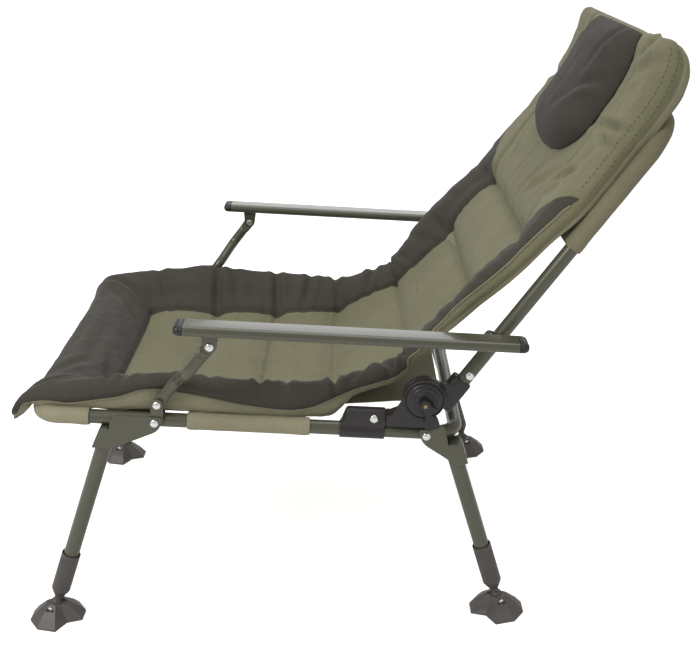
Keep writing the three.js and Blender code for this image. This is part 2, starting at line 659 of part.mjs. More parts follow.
// Recliners, one each side
const plugRadius = railRadius + seatingGap;
for (const [name, side] of Object.entries(sides)) {
  const at = (x) => side * x;

  // Socket: a round cheek with an arm that holds the back tube, in the back frame
  const tubeBack = backTubeBehindPivot;
  const [blockFront, blockRear] = [tubeBack - socketBlockFront, tubeBack + socketBlockRear];
  const socketOutline = rounded([
    [blockFront, socketFoot + socketBlockFront], [blockFront, socketMouth, 0.07],
    [blockRear, socketMouth, 0.07], [blockRear, socketFoot + socketBlockRear / 2, 0.4],
    [middle(blockFront, blockRear), socketFoot, 0.4],
  ]);
  const web = [[0, socketDiscRadius - legBracketSheet], [tubeBack, socketMouth - socketBlockFront / 2],
    [tubeBack, socketFoot + socketBlockFront], [0, -socketDiscRadius / 2]];
  const tubeBore = bar([
    new THREE.Vector3(at(backX), tubeBack, backTubeStart - seatingGap),
    new THREE.Vector3(at(backX), tubeBack, socketMouth + cutOverrun)], 1, plugRadius);
  const socket = cut(
    join(
      disc(0, 0, socketDiscRadius, at(socketDiscX), at(socketDiscOuterX)),
      plate(socketOutline, at(socketInnerX), at(socketOuterX)),
      plate(web, at(socketDiscX + seatingGap), at(socketOuterX - seatingGap)),
    ),
    tubeBore,
    hole(0, 0, at(socketInnerX - cutOverrun), at(socketDiscOuterX + cutOverrun), pivotBoltRadius),
  );
  place(backGroup, `recliner_socket_${name}`, socket, 'plastic');
  const tubeFace = railRadius + washerGap;
  place(backGroup, `socket_bolt_${name}`,
    rivet(tubeBack, socketBoltAlong, at(backX - tubeFace), at(backX + tubeFace)), 'rivet');

  // Base: a tongue over the rail, a neck and a fixed cheek outside the socket's disc, in the seat frame
  const sweepFoot = pivotOverRail - socketDiscRadius / 2;
  const sweepTop = pivotOverRail + socketDiscRadius;
  const socketSweep = [
    [-seatTail / 2, sweepFoot], [socketClearU, sweepFoot], [socketClearU, socketClearV],
    [seatTail, socketClearV], [seatTail, sweepTop], [-seatTail / 2, sweepTop],
  ];
  const tongueOutline = [
    [tongueFrontU, tongueBottom], [tongueFrontU, tongueTop],
    [-baseDiscRadius, tongueTop], [-baseDiscRadius, tongueBottom],
  ];
  const neckOutline = rounded([
    [neckFrontU, neckBottom, 0.1], [neckFrontU, tongueTop, 0.1],
    [-baseDiscRadius - socketBlockFront, tongueTop, 0.3],
    [-baseDiscRadius, pivotOverRail], [0, pivotOverRail + baseDiscRadius / 2],
    [baseDiscRadius * 0.72, pivotOverRail - baseDiscRadius / 2],
    [rearBoltU, neckBottom, 0.15],
  ]);
  const reliefX = socketDiscOuterX + 2 * seatingGap;
  const discClear = roundClear(socketDiscRadius, discSides) + seatingGap;
  const base = cut(
    join(
      plate(tongueOutline, at(tongueInnerX), at(tongueOuterX)),
      plate(neckOutline, at(tongueInnerX), at(baseCheekX)),
      disc(0, pivotOverRail, baseDiscRadius, at(reliefX), at(baseFaceX)),
    ),
    disc(0, pivotOverRail, discClear, at(tongueInnerX - cutOverrun), at(reliefX)),
    plate(socketSweep, at(tongueInnerX - cutOverrun), at(reliefX)),
    hole(0, pivotOverRail, at(tongueInnerX - cutOverrun), at(baseFaceX + cutOverrun), pivotBoltRadius),
    hole(clampRivetU, clampRivetV, at(tongueInnerX - cutOverrun), at(baseFaceX)),
  );
  place(seatGroup, `recliner_base_${name}`, base, 'plastic');

  // Clamp: a moulded sleeve that binds the tongue to the rail
  const clampOutline = rounded([
    [clampFrontU, 0], [clampFrontU, clampTop - clampChamferV, 0.12],
    [clampFrontU + clampChamferU, clampTop, 0.12], [clampRearU, clampTop], [clampRearU, 0],
  ]);
  const alongRail = (start, end, radius) => bar(
    [new THREE.Vector3(at(railX), start, 0), new THREE.Vector3(at(railX), end, 0)], railRadius, radius);
  const clamp = cut(
    join(
      plate(clampOutline, at(clampInnerX), at(clampOuterX)),
      alongRail(clampFrontU, clampRearU, plugRadius + clampWall),
    ),
    alongRail(clampFrontU - cutOverrun, clampRearU + cutOverrun, plugRadius),
    block(at(tongueInnerX - seatingGap), at(tongueOuterX + seatingGap), tongueFrontU - seatingGap,
      clampRearU + cutOverrun, tongueBottom - seatingGap, tongueTop + seatingGap),
    hole(clampRivetU, clampRivetV, at(clampInnerX - cutOverrun), at(clampOuterX + cutOverrun)),
  );
  place(seatGroup, `recliner_clamp_${name}`, clamp, 'plastic');
  place(seatGroup, `clamp_rivet_${name}`, rivet(clampRivetU, clampRivetV,
    at(clampInnerX - washerGap), at(clampOuterX + washerGap)), 'rivet');

  // Lever: hub, bent arm with a paddle, and a short heel
  const arm = (reach, degrees, neck, paddle) => {
    const direction = new THREE.Vector2(Math.cos(radians(degrees)), Math.sin(radians(degrees)));
    const cross = new THREE.Vector2(-direction.y, direction.x);
    const point = (along, wide) => [
      direction.x * along + cross.x * wide, pivotOverRail + direction.y * along + cross.y * wide,
    ];
    const [root, tip] = [reach * 0.45, reach];
    return rounded([
      point(0, neck), point(0, -neck), [...point(root, -neck), 0.45],
      [...point(root + neck, -paddle), 0.4], [...point(tip, -paddle), 0.42],
      [...point(tip, paddle), 0.42], [...point(root + neck, paddle), 0.4], [...point(root, neck), 0.45],
    ]);
  };
  const hubX = [baseFaceX + 2 * seatingGap, baseFaceX + 2 * seatingGap + leverHubHeight];
  const bladeX = [hubX[1] - leverBladeHeight, hubX[1]];
  const nutX = [socketDiscX - seatingGap - pivotNutHeight, socketDiscX - seatingGap];
  const lever = join(
    disc(0, pivotOverRail, leverHubRadius, at(hubX[0]), at(hubX[1]), roundSides),
    plate(arm(leverReach, leverAngleDegrees, leverNeckHalf, leverPaddleHalf), ...bladeX.map(at)),
    plate(arm(leverHeelReach, leverHeelDegrees, leverNeckHalf, leverNeckHalf * 1.1), ...bladeX.map(at)),
    disc(0, pivotOverRail, pivotBoltRadius, at(nutX[0]), at(hubX[1] - seatingGap), holeSides),
    disc(0, pivotOverRail, pivotNutRadius, at(nutX[0]), at(nutX[1]), smallSides),
  );
  place(seatGroup, `recliner_lever_${name}`, lever, 'black');
}

// Armrest linkage: clevis on the rail, post, armrest with caps and lugs, and the tab on the back tube
const armGroup = new THREE.Group();
armGroup.position.set(0, armrestFrontY, armrestFrontZ);
armGroup.rotation.x = -armSlope;
bodyGroup.add(armGroup);
const inArm = (y, z) => new THREE.Vector3(0, y, z).sub(armGroup.position).applyAxisAngle(xAxis, armSlope);
for (const [name, side] of Object.entries(sides)) {
  const at = (x) => side * x;

  // Rivet through the ear and the post's lower end
  place(seatGroup, `post_rivet_${name}`, rivet(earPlace.y, earPlace.z,
    at(postBottomX - postFlatThickness / 2 - washerGap), at(earX[1] + washerGap)), 'rivet');

  // Post: a bent tube flattened at both ends
  const post = (along, x) => new THREE.Vector3(at(x),
    postBottomY + postVector.x * along / postLength, postBottomZ + postVector.y * along / postLength);
  const line = [
    post(-postEyeRadius, postBottomX),
    post(postLength * postLowBendShare, postBottomX + postRadius / 3),
    post(postLength * postHighBendShare, postTopX - postRadius / 3),
    post(postLength + postEyeRadius, postTopX),
  ];
  const flatShare = (i, count) => {
    const fromEnd = Math.min(i, count - 1 - i);
    return fromEnd === 0 ? [postEyeRadius, postFlatThickness / 2] : [postRadius, postRadius];
  };
  const postOverrun = postRadius + cutOverrun;
  const postCuts = [
    hole(postBottomY, postBottomZ, at(postBottomX - postOverrun), at(postBottomX + postOverrun)),
    hole(postTopY, postTopZ, at(postTopX - postOverrun), at(postTopX + postOverrun)),
  ];
  const trims = [-1, 1].flatMap((face) => [
    [postBottomX, postBottomY, postBottomZ], [postTopX, postTopY, postTopZ],
  ].map(([x, y, z]) => block(at(x + face * postFlatThickness / 2), at(x + face * 2 * postRadius),
    y - postFlatLength, y + postFlatLength, z - postFlatReach, z + postFlatReach)));
  const postTube = bar(line, postRadius * 2, postRadius, flatShare);
  place(bodyGroup, `armrest_post_${name}`, cut(postTube, ...postCuts, ...trims), 'paint');

  // Armrest: a flat oval tube with a moulded cap in each end
  const oval = (half, thick) => {
    const shape = new THREE.Shape();
    shape.absarc(half - thick, 0, thick, -Math.PI / 2, Math.PI / 2);
    shape.absarc(-half + thick, 0, thick, Math.PI / 2, 3 * Math.PI / 2);
    return shape;
  };
  const along = (shape, start, end) => new THREE.ExtrudeGeometry(shape, {
    depth: end - start, bevelEnabled: false, curveSegments: 6,
  }).rotateX(-Math.PI / 2).translate(at(armrestHalfSpacing), start, 0);
  const [armHalf, armThick] = [armrestWidth / 2, armrestThickness / 2];
  const [tubeStart, tubeEnd] = [capLength, armrestLength - capLength];
  const plugFit = capWall + seatingGap;
  const plug = (start, end) => along(oval(armHalf - plugFit, armThick - plugFit), start, end);
  const capEnd = (start, end) => along(oval(armHalf, armThick), start, end);
  const capNose = (capY) => {
    const nose = [1, 0.93, 0.72, 0.34].map((share, k) => {
      const out = capLength * [0, 0.45, 0.8, 1][k];
      return Array.from({ length: roundSides }, (_, j) => {
        const angle = 2 * Math.PI * j / roundSides;
        const straight = (armHalf - armThick) * Math.sign(Math.cos(angle));
        const across = at(armrestHalfSpacing) + straight * share + armThick * share * Math.cos(angle);
        return new THREE.Vector3(across, capY(out), armThick * share * Math.sin(angle));
      });
    });
    return loft(nose);
  };
  const caps = {
    front: join(
      capNose((out) => tubeStart - out - seatingGap),
      plug(tubeStart - seatingGap - capWall, tubeStart + capPlug),
    ),
    rear: join(
      capNose((out) => tubeEnd + out + seatingGap),
      plug(tubeEnd - capPlug, tubeEnd + seatingGap + capWall),
    ),
  };
  for (const [end, cap] of Object.entries(caps)) place(armGroup, `armrest_cap_${end}_${name}`, cap, 'black');

  // Welded under it: a channel for the post's eye and an angle beside the back tube
  const underside = -armThick + weldBite;
  const eye = inArm(postTopY, postTopZ);
  const rear = inArm(rearPivot.y, rearPivot.z);
  const cheekGap = postFlatThickness / 2 + seatingGap;
  const frontCheek = rounded([
    [eye.y - frontLugLength / 2, underside - lugSheet - weldBite], [eye.y - frontLugLength / 2, underside],
    [eye.y + frontLugLength / 2, underside], [eye.y + frontLugLength / 2, underside - lugSheet - weldBite],
    [eye.y + lugEyeRadius, eye.z - lugEyeRadius, 0.45],
    [eye.y - lugEyeRadius, eye.z - lugEyeRadius, 0.45],
  ]);
  const frontLug = join(
    plate(frontCheek, at(postTopX + cheekGap), at(postTopX + cheekGap + lugSheet)),
    block(at(postTopX - cheekGap - lugSheet), at(postTopX + cheekGap + lugSheet), eye.y - frontLugLength / 2,
      eye.y + frontLugLength / 2, underside - lugSheet, underside),
    plate(frontCheek, at(postTopX - cheekGap), at(postTopX - cheekGap - lugSheet)),
  );
  const rearCheek = rounded([
    [rear.y - rearLugLength / 2, underside - lugSheet - weldBite], [rear.y - rearLugLength / 2, underside],
    [rear.y + rearLugLength / 2, underside], [rear.y + rearLugLength / 2, underside - lugSheet - weldBite],
    [rear.y + lugEyeRadius, rear.z - lugEyeRadius, 0.45],
    [rear.y - lugEyeRadius, rear.z - lugEyeRadius, 0.45],
  ]);
  const rearLug = join(
    plate(rearCheek, at(rearLugX), at(rearLugX + lugSheet)),
    block(at(rearLugX), at(armrestHalfSpacing), rear.y - rearLugLength / 2, rear.y + rearLugLength / 2,
      underside - lugSheet, underside),
  );
  const nutX = middle(rearLugX + lugSheet, armrestHalfSpacing);
  const nutPlace = [at(nutX), rear.y + rearLugLength / 4, underside - lugSheet];
  const nut = new THREE.CylinderGeometry(nutRadius, nutRadius * 0.6, nutHeight, tubeSides)
    .rotateX(Math.PI / 2).translate(0, 0, -nutHeight / 2 + weldBite).translate(...nutPlace);
  const armrest = cut(
    join(along(oval(armHalf, armThick), tubeStart, tubeEnd), frontLug, rearLug, nut),
    along(oval(armHalf - capWall, armThick - capWall), tubeStart - cutOverrun, tubeEnd + cutOverrun),
    hole(eye.y, eye.z, at(postTopX - 2 * postRadius), at(postTopX + 2 * postRadius)),
  );
  place(armGroup, `armrest_${name}`, armrest, 'paint');
  const lugFace = cheekGap + lugSheet + washerGap;
  const postRivet = rivet(eye.y, eye.z, at(postTopX - lugFace), at(postTopX + lugFace));
  place(armGroup, `armrest_rivet_${name}`, postRivet, 'rivet');
}

// Legs: a folded sheet bracket on the rail, a tube, an inner leg with a boot and ball, a mud foot
const cheekInside = railRadius + cheekClearance;
const cheekOutside = cheekInside + legBracketSheet;
const stopTop = -railRadius - seatingGap;
const legKinds = {
  front: {
    boltU: frontBoltU, lean: -radians(frontLegLeanDegrees), beside: -frontTubeBesideBolt,
    outlineShares: [
      [0.00, 0.84], [-4.98, 0.84, 0.4], [-5.50, 0.28, 0.2], [-5.72, -1.12], [-6.92, -1.12],
      [-7.95, -3.75, 0.1], [-6.20, -3.95, 0.3], [-4.30, -3.30, 0.3], [0.55, -1.05, 0.45], [1.12, 0.84, 0.45],
    ],
    innerShares: [
      [0.00, 0.84], [-4.98, 0.84, 0.4], [-5.50, 0.28, 0.2], [-5.72, -1.12], [-6.92, -1.12],
      [-7.95, -3.75, 0.1], [-6.20, -3.95, 0.3], [-4.30, -3.30, 0.3], [0.55, -1.05, 0.45], [1.12, 0.84, 0.45],
    ],
    web: [[-6.94, -1.18], [-7.80, -3.38]],
    stop: [-6.8, -5.85],
  },
  rear: {
    boltU: rearBoltU, lean: radians(rearLegLeanDegrees), beside: rearTubeBesideBolt,
    outlineShares: [
      [0.00, 0.90], [0.35, 0.90, 0.3], [1.25, 1.48, 0.3], [2.17, 1.44, 0.3], [2.50, 0.25, 0.2],
      [2.92, -1.12], [4.75, -1.12], [5.60, -3.55, 0.1], [4.00, -4.00, 0.3], [2.90, -3.10, 0.3],
      [-0.45, -1.05, 0.45], [-1.10, 0.90, 0.45],
    ],
    innerShares: [
      [0.00, 0.90], [0.80, 0.90, 0.4], [1.45, 0.10, 0.3], [1.75, -1.12],
      [4.75, -1.12], [5.60, -3.55, 0.1], [4.00, -4.00, 0.3], [2.90, -3.10, 0.3],
      [-0.45, -1.05, 0.45], [-1.10, 0.90, 0.45],
    ],
    web: [[4.77, -1.18], [5.46, -3.16]],
    stop: [3.05, 4.6],
  },
};
const footAngles = [-114, -72, -33, 0, 30, 66, 108, 147, 180, 210];
const footValleys = [4, 9];
const valleyReachShare = 0.62;
const valleyShoulderShare = 0.66;

// A mud foot about its ball: two lobes of three facets, a deep valley between them each side
function mudFoot(hand) {
  const ring = (reach, height, valleyReach, valleyHeight) => footAngles.map((degrees, i) => {
    const valley = footValleys.includes(i);
    const angle = radians(degrees) * hand;
    const r = valley ? valleyReach : reach;
    const overBall = (valley ? valleyHeight : height) - ballHeight;
    return new THREE.Vector3(r * Math.cos(angle), r * Math.sin(angle), overBall);
  });
  const valleyReach = footRadius * valleyReachShare;
  const valleyShoulder = footShoulderHeight * valleyShoulderShare;
  const shell = loft([
    ring(footRadius, 0, valleyReach, 0),
    ring(footRadius, footEdge, valleyReach, footEdge),
    ring(footShoulderRadius, footShoulderHeight, footShoulderRadius * valleyShoulderShare, valleyShoulder),
    ring(footCrownRadius, footCrownHeight, footRimRadius, footCrownHeight - footEdge),
    ring(footRimRadius, footRimHeight, footRimRadius - footEdge, footRimHeight),
  ]);
  const cup = new THREE.SphereGeometry(footCupRadius, ballSides, ballBands);
  const boreRadius = footPinRadius + seatingGap;
  const bore = new THREE.CylinderGeometry(boreRadius, boreRadius, 2 * footRadius, smallSides);
  const faces = [1, -1].map((face) => block(-footLugHalfWidth, footLugHalfWidth,
    face * footPinHalf, face * footRadius, -footPinHead - seatingGap, footRimHeight));
  const saddleHalf = stemRadius + footSaddleClearance;
  const saddle = block(-footRadius, footRadius, -saddleHalf, saddleHalf, footSaddleRise, footRimHeight);
  return cut(shell, cup, bore, saddle, ...faces);
}
for (const [name, side] of Object.entries(sides)) {
  const at = (x) => side * x;
  for (const [end, kind] of Object.entries(legKinds)) {
    const boltPlace = seatPoint(0, kind.boltU, 0);

    // Bracket, in the seat frame round its bolt
    const [outline, inner] = [kind.outlineShares, kind.innerShares].map((corners) => rounded(
      corners.map(([u, v, share]) => [kind.boltU + u * legTubeRadius, v * legTubeRadius, share])));
    const inward = -Math.sign(kind.web[0][0]) * legBracketSheet;
    const webPoints = kind.web.map(([u, v]) => [kind.boltU + u * legTubeRadius, v * legTubeRadius]);
    const web = [...webPoints, ...webPoints.map(([u, v]) => [u + inward, v]).reverse()];
    const stop = kind.stop.map((share) => kind.boltU + share * legTubeRadius);
    const outerFace = at(railX + cheekOutside);
    const innerFace = at(railX - cheekOutside);
    const bracket = join(
      plate(outline, at(railX + cheekInside), outerFace),
      plate(inner, at(railX - cheekInside), innerFace),
      plate(web, innerFace, outerFace),
      block(innerFace, outerFace, ...stop, stopTop - legBracketSheet, stopTop),
    );
    const boltHole = hole(kind.boltU, 0, innerFace - at(cutOverrun), outerFace + at(cutOverrun));
    const legBolt = rivet(kind.boltU, 0, innerFace - at(washerGap), outerFace + at(washerGap));
    place(seatGroup, `leg_bolt_${end}_${name}`, legBolt, 'rivet');

    // Tube and inner leg, along the leaning leg
    const legGroup = new THREE.Group();
    legGroup.position.set(at(railX), boltPlace.y, boltPlace.z);
    legGroup.rotation.x = kind.lean;
    bodyGroup.add(legGroup);
    const legDrop = boltPlace.z + kind.beside * Math.sin(kind.lean) - groundDrop - ballHeight;
    const legLength = legDrop / Math.cos(kind.lean);
    const ball = new THREE.Group();
    ball.position.set(0, kind.beside, -legLength);
    legGroup.add(ball);
    const upright = (profile, count) => new THREE.LatheGeometry(
      profile.map(([r, z]) => new THREE.Vector2(r, z)), count).rotateX(Math.PI / 2);
    const toRail = kind.lean + seatTilt;
    const tubeTopZ = legLength + (stopTop - legBracketSheet - seatingGap) * Math.cos(toRail)
      - Math.abs(Math.tan(toRail)) * legTubeRadius - Math.abs(kind.beside * Math.sin(toRail));
    const tubeFootZ = stemOverBall + bootLength - bootPocketDepth + seatingGap;
    const rod = (radius, low, high) => upright(
      [[0, low], [radius, low], [radius, high], [0, high]], roundSides);
    const weld = block(-cheekOutside + weldBite, cheekOutside - weldBite, -weldHalfWidth, weldHalfWidth,
      tubeTopZ - weldLength, tubeTopZ - weldBite);
    legGroup.updateMatrix();
    ball.updateMatrix();
    const ballMatrix = legGroup.matrix.clone().multiply(ball.matrix);
    const inBody = (geometry) => geometry.applyMatrix4(ballMatrix);
    place(bodyGroup, `leg_tube_${end}_${name}`, cut(
      join(
        inBody(rod(legTubeRadius, tubeFootZ, tubeTopZ)), inBody(weld),
        bracket.applyMatrix4(seatGroup.matrix),
      ),
      inBody(rod(legTubeBore, tubeFootZ - cutOverrun, tubeTopZ + cutOverrun)),
      boltHole.applyMatrix4(seatGroup.matrix),
    ), 'paint');
    place(ball, `leg_inner_${end}_${name}`, upright([
      [0, bootFloorOverBall + seatingGap], [innerLegRadius, bootFloorOverBall + seatingGap],
      [innerLegRadius, bootFloorOverBall + innerLegLength], [0, bootFloorOverBall + innerLegLength],
    ], roundSides), 'steel');

    // Boot with its ball, slotted for the cross pin
    const neckAngle = Math.acos(stemRadius / ballRadius);
    const ballArc = Array.from({ length: ballArcSteps + 1 }, (_, k) => {
      const angle = -Math.PI / 2 + (Math.PI / 2 + neckAngle) * k / ballArcSteps;
      return [ballRadius * Math.cos(angle), ballRadius * Math.sin(angle)];
    });
    const pocket = bootRadius - bootWall;
    const bootTop = stemOverBall + bootLength;
    const boot = upright([
      ...ballArc, [stemRadius, stemOverBall], [bootMouthRadius, stemOverBall],
      [bootRadius, stemOverBall + bootTaperHeight],
      [bootRadius, bootTop], [pocket, bootTop], [pocket, bootTop - bootPocketDepth],
      [innerLegRadius + seatingGap, bootTop - bootPocketDepth],
      [innerLegRadius + seatingGap, bootFloorOverBall], [0, bootFloorOverBall],
    ], roundSides);
    const hand = end === 'rear' ? 1 : -1;
    const yaw = radians(footYawDegrees) * (end === 'front' ? -1 : 1);
    const slot = new THREE.BoxGeometry(ballSlotWidth, 3 * ballRadius, ballSlotRise + ballSlotFall)
      .translate(0, 0, middle(ballSlotRise, -ballSlotFall)).rotateZ(Math.PI / 2 + yaw);
    place(ball, `leg_boot_${end}_${name}`, cut(boot, slot), 'plastic');

    // Foot and its cross pin stand upright on the ground
    const foot = new THREE.Group();
    foot.position.set(0, kind.beside, -legLength);
    foot.position.applyAxisAngle(xAxis, kind.lean).add(legGroup.position);
    foot.rotation.z = Math.PI / 2 + yaw;
    bodyGroup.add(foot);
    place(foot, `foot_${end}_${name}`, mudFoot(hand), 'plastic');
    const pinHalf = footPinHalf + seatingGap;
    const pinEnd = [
      [0, pinHalf + footPinHeadHeight], [footPinHead, pinHalf + footPinHeadHeight / 2],
      [footPinHead, pinHalf], [footPinRadius, pinHalf],
    ];
    const pin = new THREE.LatheGeometry([
      ...pinEnd.map(([r, y]) => [r, -y]), ...[...pinEnd].reverse(),
    ].map(([r, y]) => new THREE.Vector2(r, y)), smallSides);
    place(foot, `foot_pin_${end}_${name}`, pin, 'rivet');
  }
}

// The origin lies on the ground under the middle of the chair's box
chair.updateMatrixWorld(true);
const box = new THREE.Box3().setFromObject(chair, true);
bodyGroup.position.set(-middle(box.min.x, box.max.x), -middle(box.min.y, box.max.y), -box.min.z);
chair.updateMatrixWorld(true);

export default chair;
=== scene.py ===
import json
import math

import bpy
import numpy as np
from mathutils import Matrix, Vector, noise


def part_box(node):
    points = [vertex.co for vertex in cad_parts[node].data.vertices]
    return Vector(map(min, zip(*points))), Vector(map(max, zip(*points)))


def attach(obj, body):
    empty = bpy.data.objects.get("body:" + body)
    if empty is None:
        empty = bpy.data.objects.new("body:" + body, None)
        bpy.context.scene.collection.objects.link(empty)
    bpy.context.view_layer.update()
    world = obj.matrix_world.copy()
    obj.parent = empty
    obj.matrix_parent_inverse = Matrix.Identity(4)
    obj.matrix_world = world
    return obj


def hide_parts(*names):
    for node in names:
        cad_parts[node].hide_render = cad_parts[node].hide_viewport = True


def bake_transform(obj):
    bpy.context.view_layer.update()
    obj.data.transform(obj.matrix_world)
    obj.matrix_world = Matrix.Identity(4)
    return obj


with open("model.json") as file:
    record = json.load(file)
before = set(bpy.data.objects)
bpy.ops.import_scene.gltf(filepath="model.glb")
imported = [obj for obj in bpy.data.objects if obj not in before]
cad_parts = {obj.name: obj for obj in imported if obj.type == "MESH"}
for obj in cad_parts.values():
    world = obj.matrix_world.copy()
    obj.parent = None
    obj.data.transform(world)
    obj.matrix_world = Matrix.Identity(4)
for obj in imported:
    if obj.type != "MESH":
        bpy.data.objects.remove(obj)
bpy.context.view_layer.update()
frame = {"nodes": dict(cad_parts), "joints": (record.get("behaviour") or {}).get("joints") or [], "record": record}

# Room and camera: a pale studio floor under four soft lamps, and a long lens that looks at the
# chair's left side from a little above, as in the photograph.
EYE = Vector((1.7714, 0.0451, 1.0663))
LOOK_AT = Vector((0.0, 0.0297, 0.3846))
EYE_ROLL = math.radians(-1.289)
FLOOR_COLOUR, FLOOR_HALF = (0.93, 0.93, 0.925, 1), 9

eye_data = bpy.data.cameras.new("photo_eye")
eye_data.lens, eye_data.sensor_width = 56.06, 36
eye = bpy.data.objects.new("photo_eye", eye_data)
bpy.context.scene.collection.objects.link(eye)
turn = (LOOK_AT - EYE).to_track_quat("-Z", "Y").to_matrix().to_4x4()
eye.matrix_world = Matrix.Translation(EYE) @ turn @ Matrix.Rotation(EYE_ROLL, 4, "Z")
bpy.context.scene.camera = eye


def lamp(name, place, aim, power, size):
    """A square soft lamp at a place, turned to an aim."""
    data = bpy.data.lights.new(name, "AREA")
    data.energy, data.size = power, size
    made = bpy.data.objects.new(name, data)
    bpy.context.scene.collection.objects.link(made)
    made.location = place
    made.rotation_euler = (Vector(aim) - Vector(place)).to_track_quat("-Z", "Y").to_euler()


def spread(tree, source, low, high, start=0.0, end=1.0):
    """A node's value from start to end, mapped onto low to high."""
    made = tree.nodes.new("ShaderNodeMapRange")
    for name, value in (("From Min", start), ("From Max", end), ("To Min", low), ("To Max", high)):
        made.inputs[name].default_value = value
    tree.links.new(source, made.inputs["Value"])
    return made.outputs["Result"]


def white_to_the_eye(tree, seen, felt, strength):
    """Sets a strength to one value as the camera sees it and another as it lights the chair."""
    path = tree.nodes.new("ShaderNodeLightPath")
    tree.links.new(spread(tree, path.outputs["Is Camera Ray"], felt, seen), strength)


lamp("key_lamp", (2.0, -2.0, 2.7), (0, 0, 0.4), 54, 1.2)
lamp("fill_lamp", (2.6, 2.0, 1.5), (0, 0, 0.4), 9, 1.8)
lamp("top_lamp", (-0.3, 0.2, 3.2), (0, 0, 0.3), 27, 2.2)
lamp("back_lamp", (-2.6, 0.4, 1.6), (0, 0, 0.4), 10, 1.8)
room_air = bpy.data.worlds.new("room_air")
room_air.use_nodes = True
air = room_air.node_tree.nodes["Background"]
air.inputs["Color"].default_value = (1, 1, 1, 1)
white_to_the_eye(room_air.node_tree, 1.05, 0.50, air.inputs["Strength"])
bpy.context.scene.world = room_air
bpy.context.scene.view_settings.view_transform = "Standard"

floor_mesh = bpy.data.meshes.new("studio_floor")
floor_mesh.from_pydata([(FLOOR_HALF * x, FLOOR_HALF * y, 0) for x, y in ((-1, -1), (1, -1), (1, 1), (-1, 1))],
                       [], [(0, 1, 2, 3)])
studio_floor = bpy.data.objects.new("studio_floor", floor_mesh)
bpy.context.scene.collection.objects.link(studio_floor)
floor_paper = bpy.data.materials.new("floor_paper")
floor_paper.use_nodes = True
paper = floor_paper.node_tree.nodes["Principled BSDF"]
paper.inputs["Base Color"].default_value = FLOOR_COLOUR
paper.inputs["Roughness"].default_value = 0.9
paper.inputs["Emission Color"].default_value = (1, 1, 1, 1)
white_to_the_eye(floor_paper.node_tree, 0.62, 0.0, paper.inputs["Emission Strength"])
studio_floor.data.materials.append(floor_paper)

# Seat hoop: the steel tube, 22 mm across, that runs round the seat. It is bent in two halves that
# meet inside the clamps, is powder coated a dark glossy olive, and carries a welded ear each side.
MM = 0.001
RAIL_RADIUS, RAIL_X = 11, 280
SEAT_TILT, OVER_RAIL = math.radians(4.2), 64.5
SIDES = (("left", 1), ("right", -1))
pivot = Vector(next(j["pos_m"] for j in frame["joints"] if j["name"] == "back_recline"))


def on_seat(x, u, v):
    """A place in mm along the rails (u) and square above them (v), in the row frame in metres."""
    y = -OVER_RAIL * math.sin(SEAT_TILT) + u * math.cos(SEAT_TILT) + v * math.sin(SEAT_TILT)
    z = -OVER_RAIL * math.cos(SEAT_TILT) - u * math.sin(SEAT_TILT) + v * math.cos(SEAT_TILT)
    return Vector((x * MM, pivot.y + y * MM, pivot.z + z * MM))


def new_mesh(name, points, faces, materials, body, nodes=(), sharp=32):
    """A smooth-shaded piece from points and faces that rides on a body and stands for CAD nodes."""
    mesh = bpy.data.meshes.new(name)
    mesh.from_pydata([tuple(p) for p in points], [], faces)
    mesh.validate()
    mesh.polygons.foreach_set("use_smooth", [True] * len(mesh.polygons))
    if sharp:
        mesh.set_sharp_from_angle(angle=math.radians(sharp))
    for material in materials:
        mesh.materials.append(material)
    made = bpy.data.objects.new(name, mesh)
    bpy.context.scene.collection.objects.link(made)
    if body:
        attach(made, body)
    if nodes:
        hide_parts(*nodes)
    return made


def facing_out(points, faces):
    """The faces, all turned round if they enclose a negative volume."""
    volume = 0.0
    for face in faces:
        a = Vector(points[face[0]])
        for i in range(1, len(face) - 1):
            volume += a.dot(Vector(points[face[i]]).cross(Vector(points[face[i + 1]])))
    return faces if volume > 0 else [tuple(reversed(face)) for face in faces]


def circle(radius, sides):
    """Points (a, b) round a circle about the origin."""
    turns = np.linspace(0, 2 * math.pi, sides, endpoint=False)
    return [(radius * math.cos(t), radius * math.sin(t)) for t in turns]


def band(start, rows, count, inward=False):
    """Faces between rows of equal count, the first point of which has the number start."""
    faces = []
    for i in range(rows - 1):
        for j in range(count):
            a, b = start + i * count + j, start + i * count + (j + 1) % count
            faces.append((b, a, a + count, b + count) if inward else (a, b, b + count, a + count))
    return faces


def skin(rings):
    """Points and faces through rings of equal count, capped at both ends."""
    count = len(rings[0])
    points = [p for ring in rings for p in ring]
    faces = band(0, len(rings), count)
    faces.append(tuple(range(count - 1, -1, -1)))
    faces.append(tuple((len(rings) - 1) * count + j for j in range(count)))
    return points, facing_out(points, faces)


def bent_line(corners, radius, steps=14):
    """Stations (place, heading) of a straight line with rounded corners, in metres."""
    stations = [(corners[0].copy(), (corners[1] - corners[0]).normalized())]
    for i in range(1, len(corners) - 1):
        before = (corners[i] - corners[i - 1]).normalized()
        after = (corners[i + 1] - corners[i]).normalized()
        bend = before.angle(after)
        if bend < 1e-4:
            continue
        axis = before.cross(after).normalized()
        start = corners[i] - before * radius * math.tan(bend / 2)
        centre = start + axis.cross(before) * radius
        for step in range(steps + 1):
            spin = Matrix.Rotation(bend * step / steps, 3, axis)
            stations.append((centre + spin @ (start - centre), spin @ before))
    stations.append((corners[-1].copy(), (corners[-1] - corners[-2]).normalized()))
    return stations


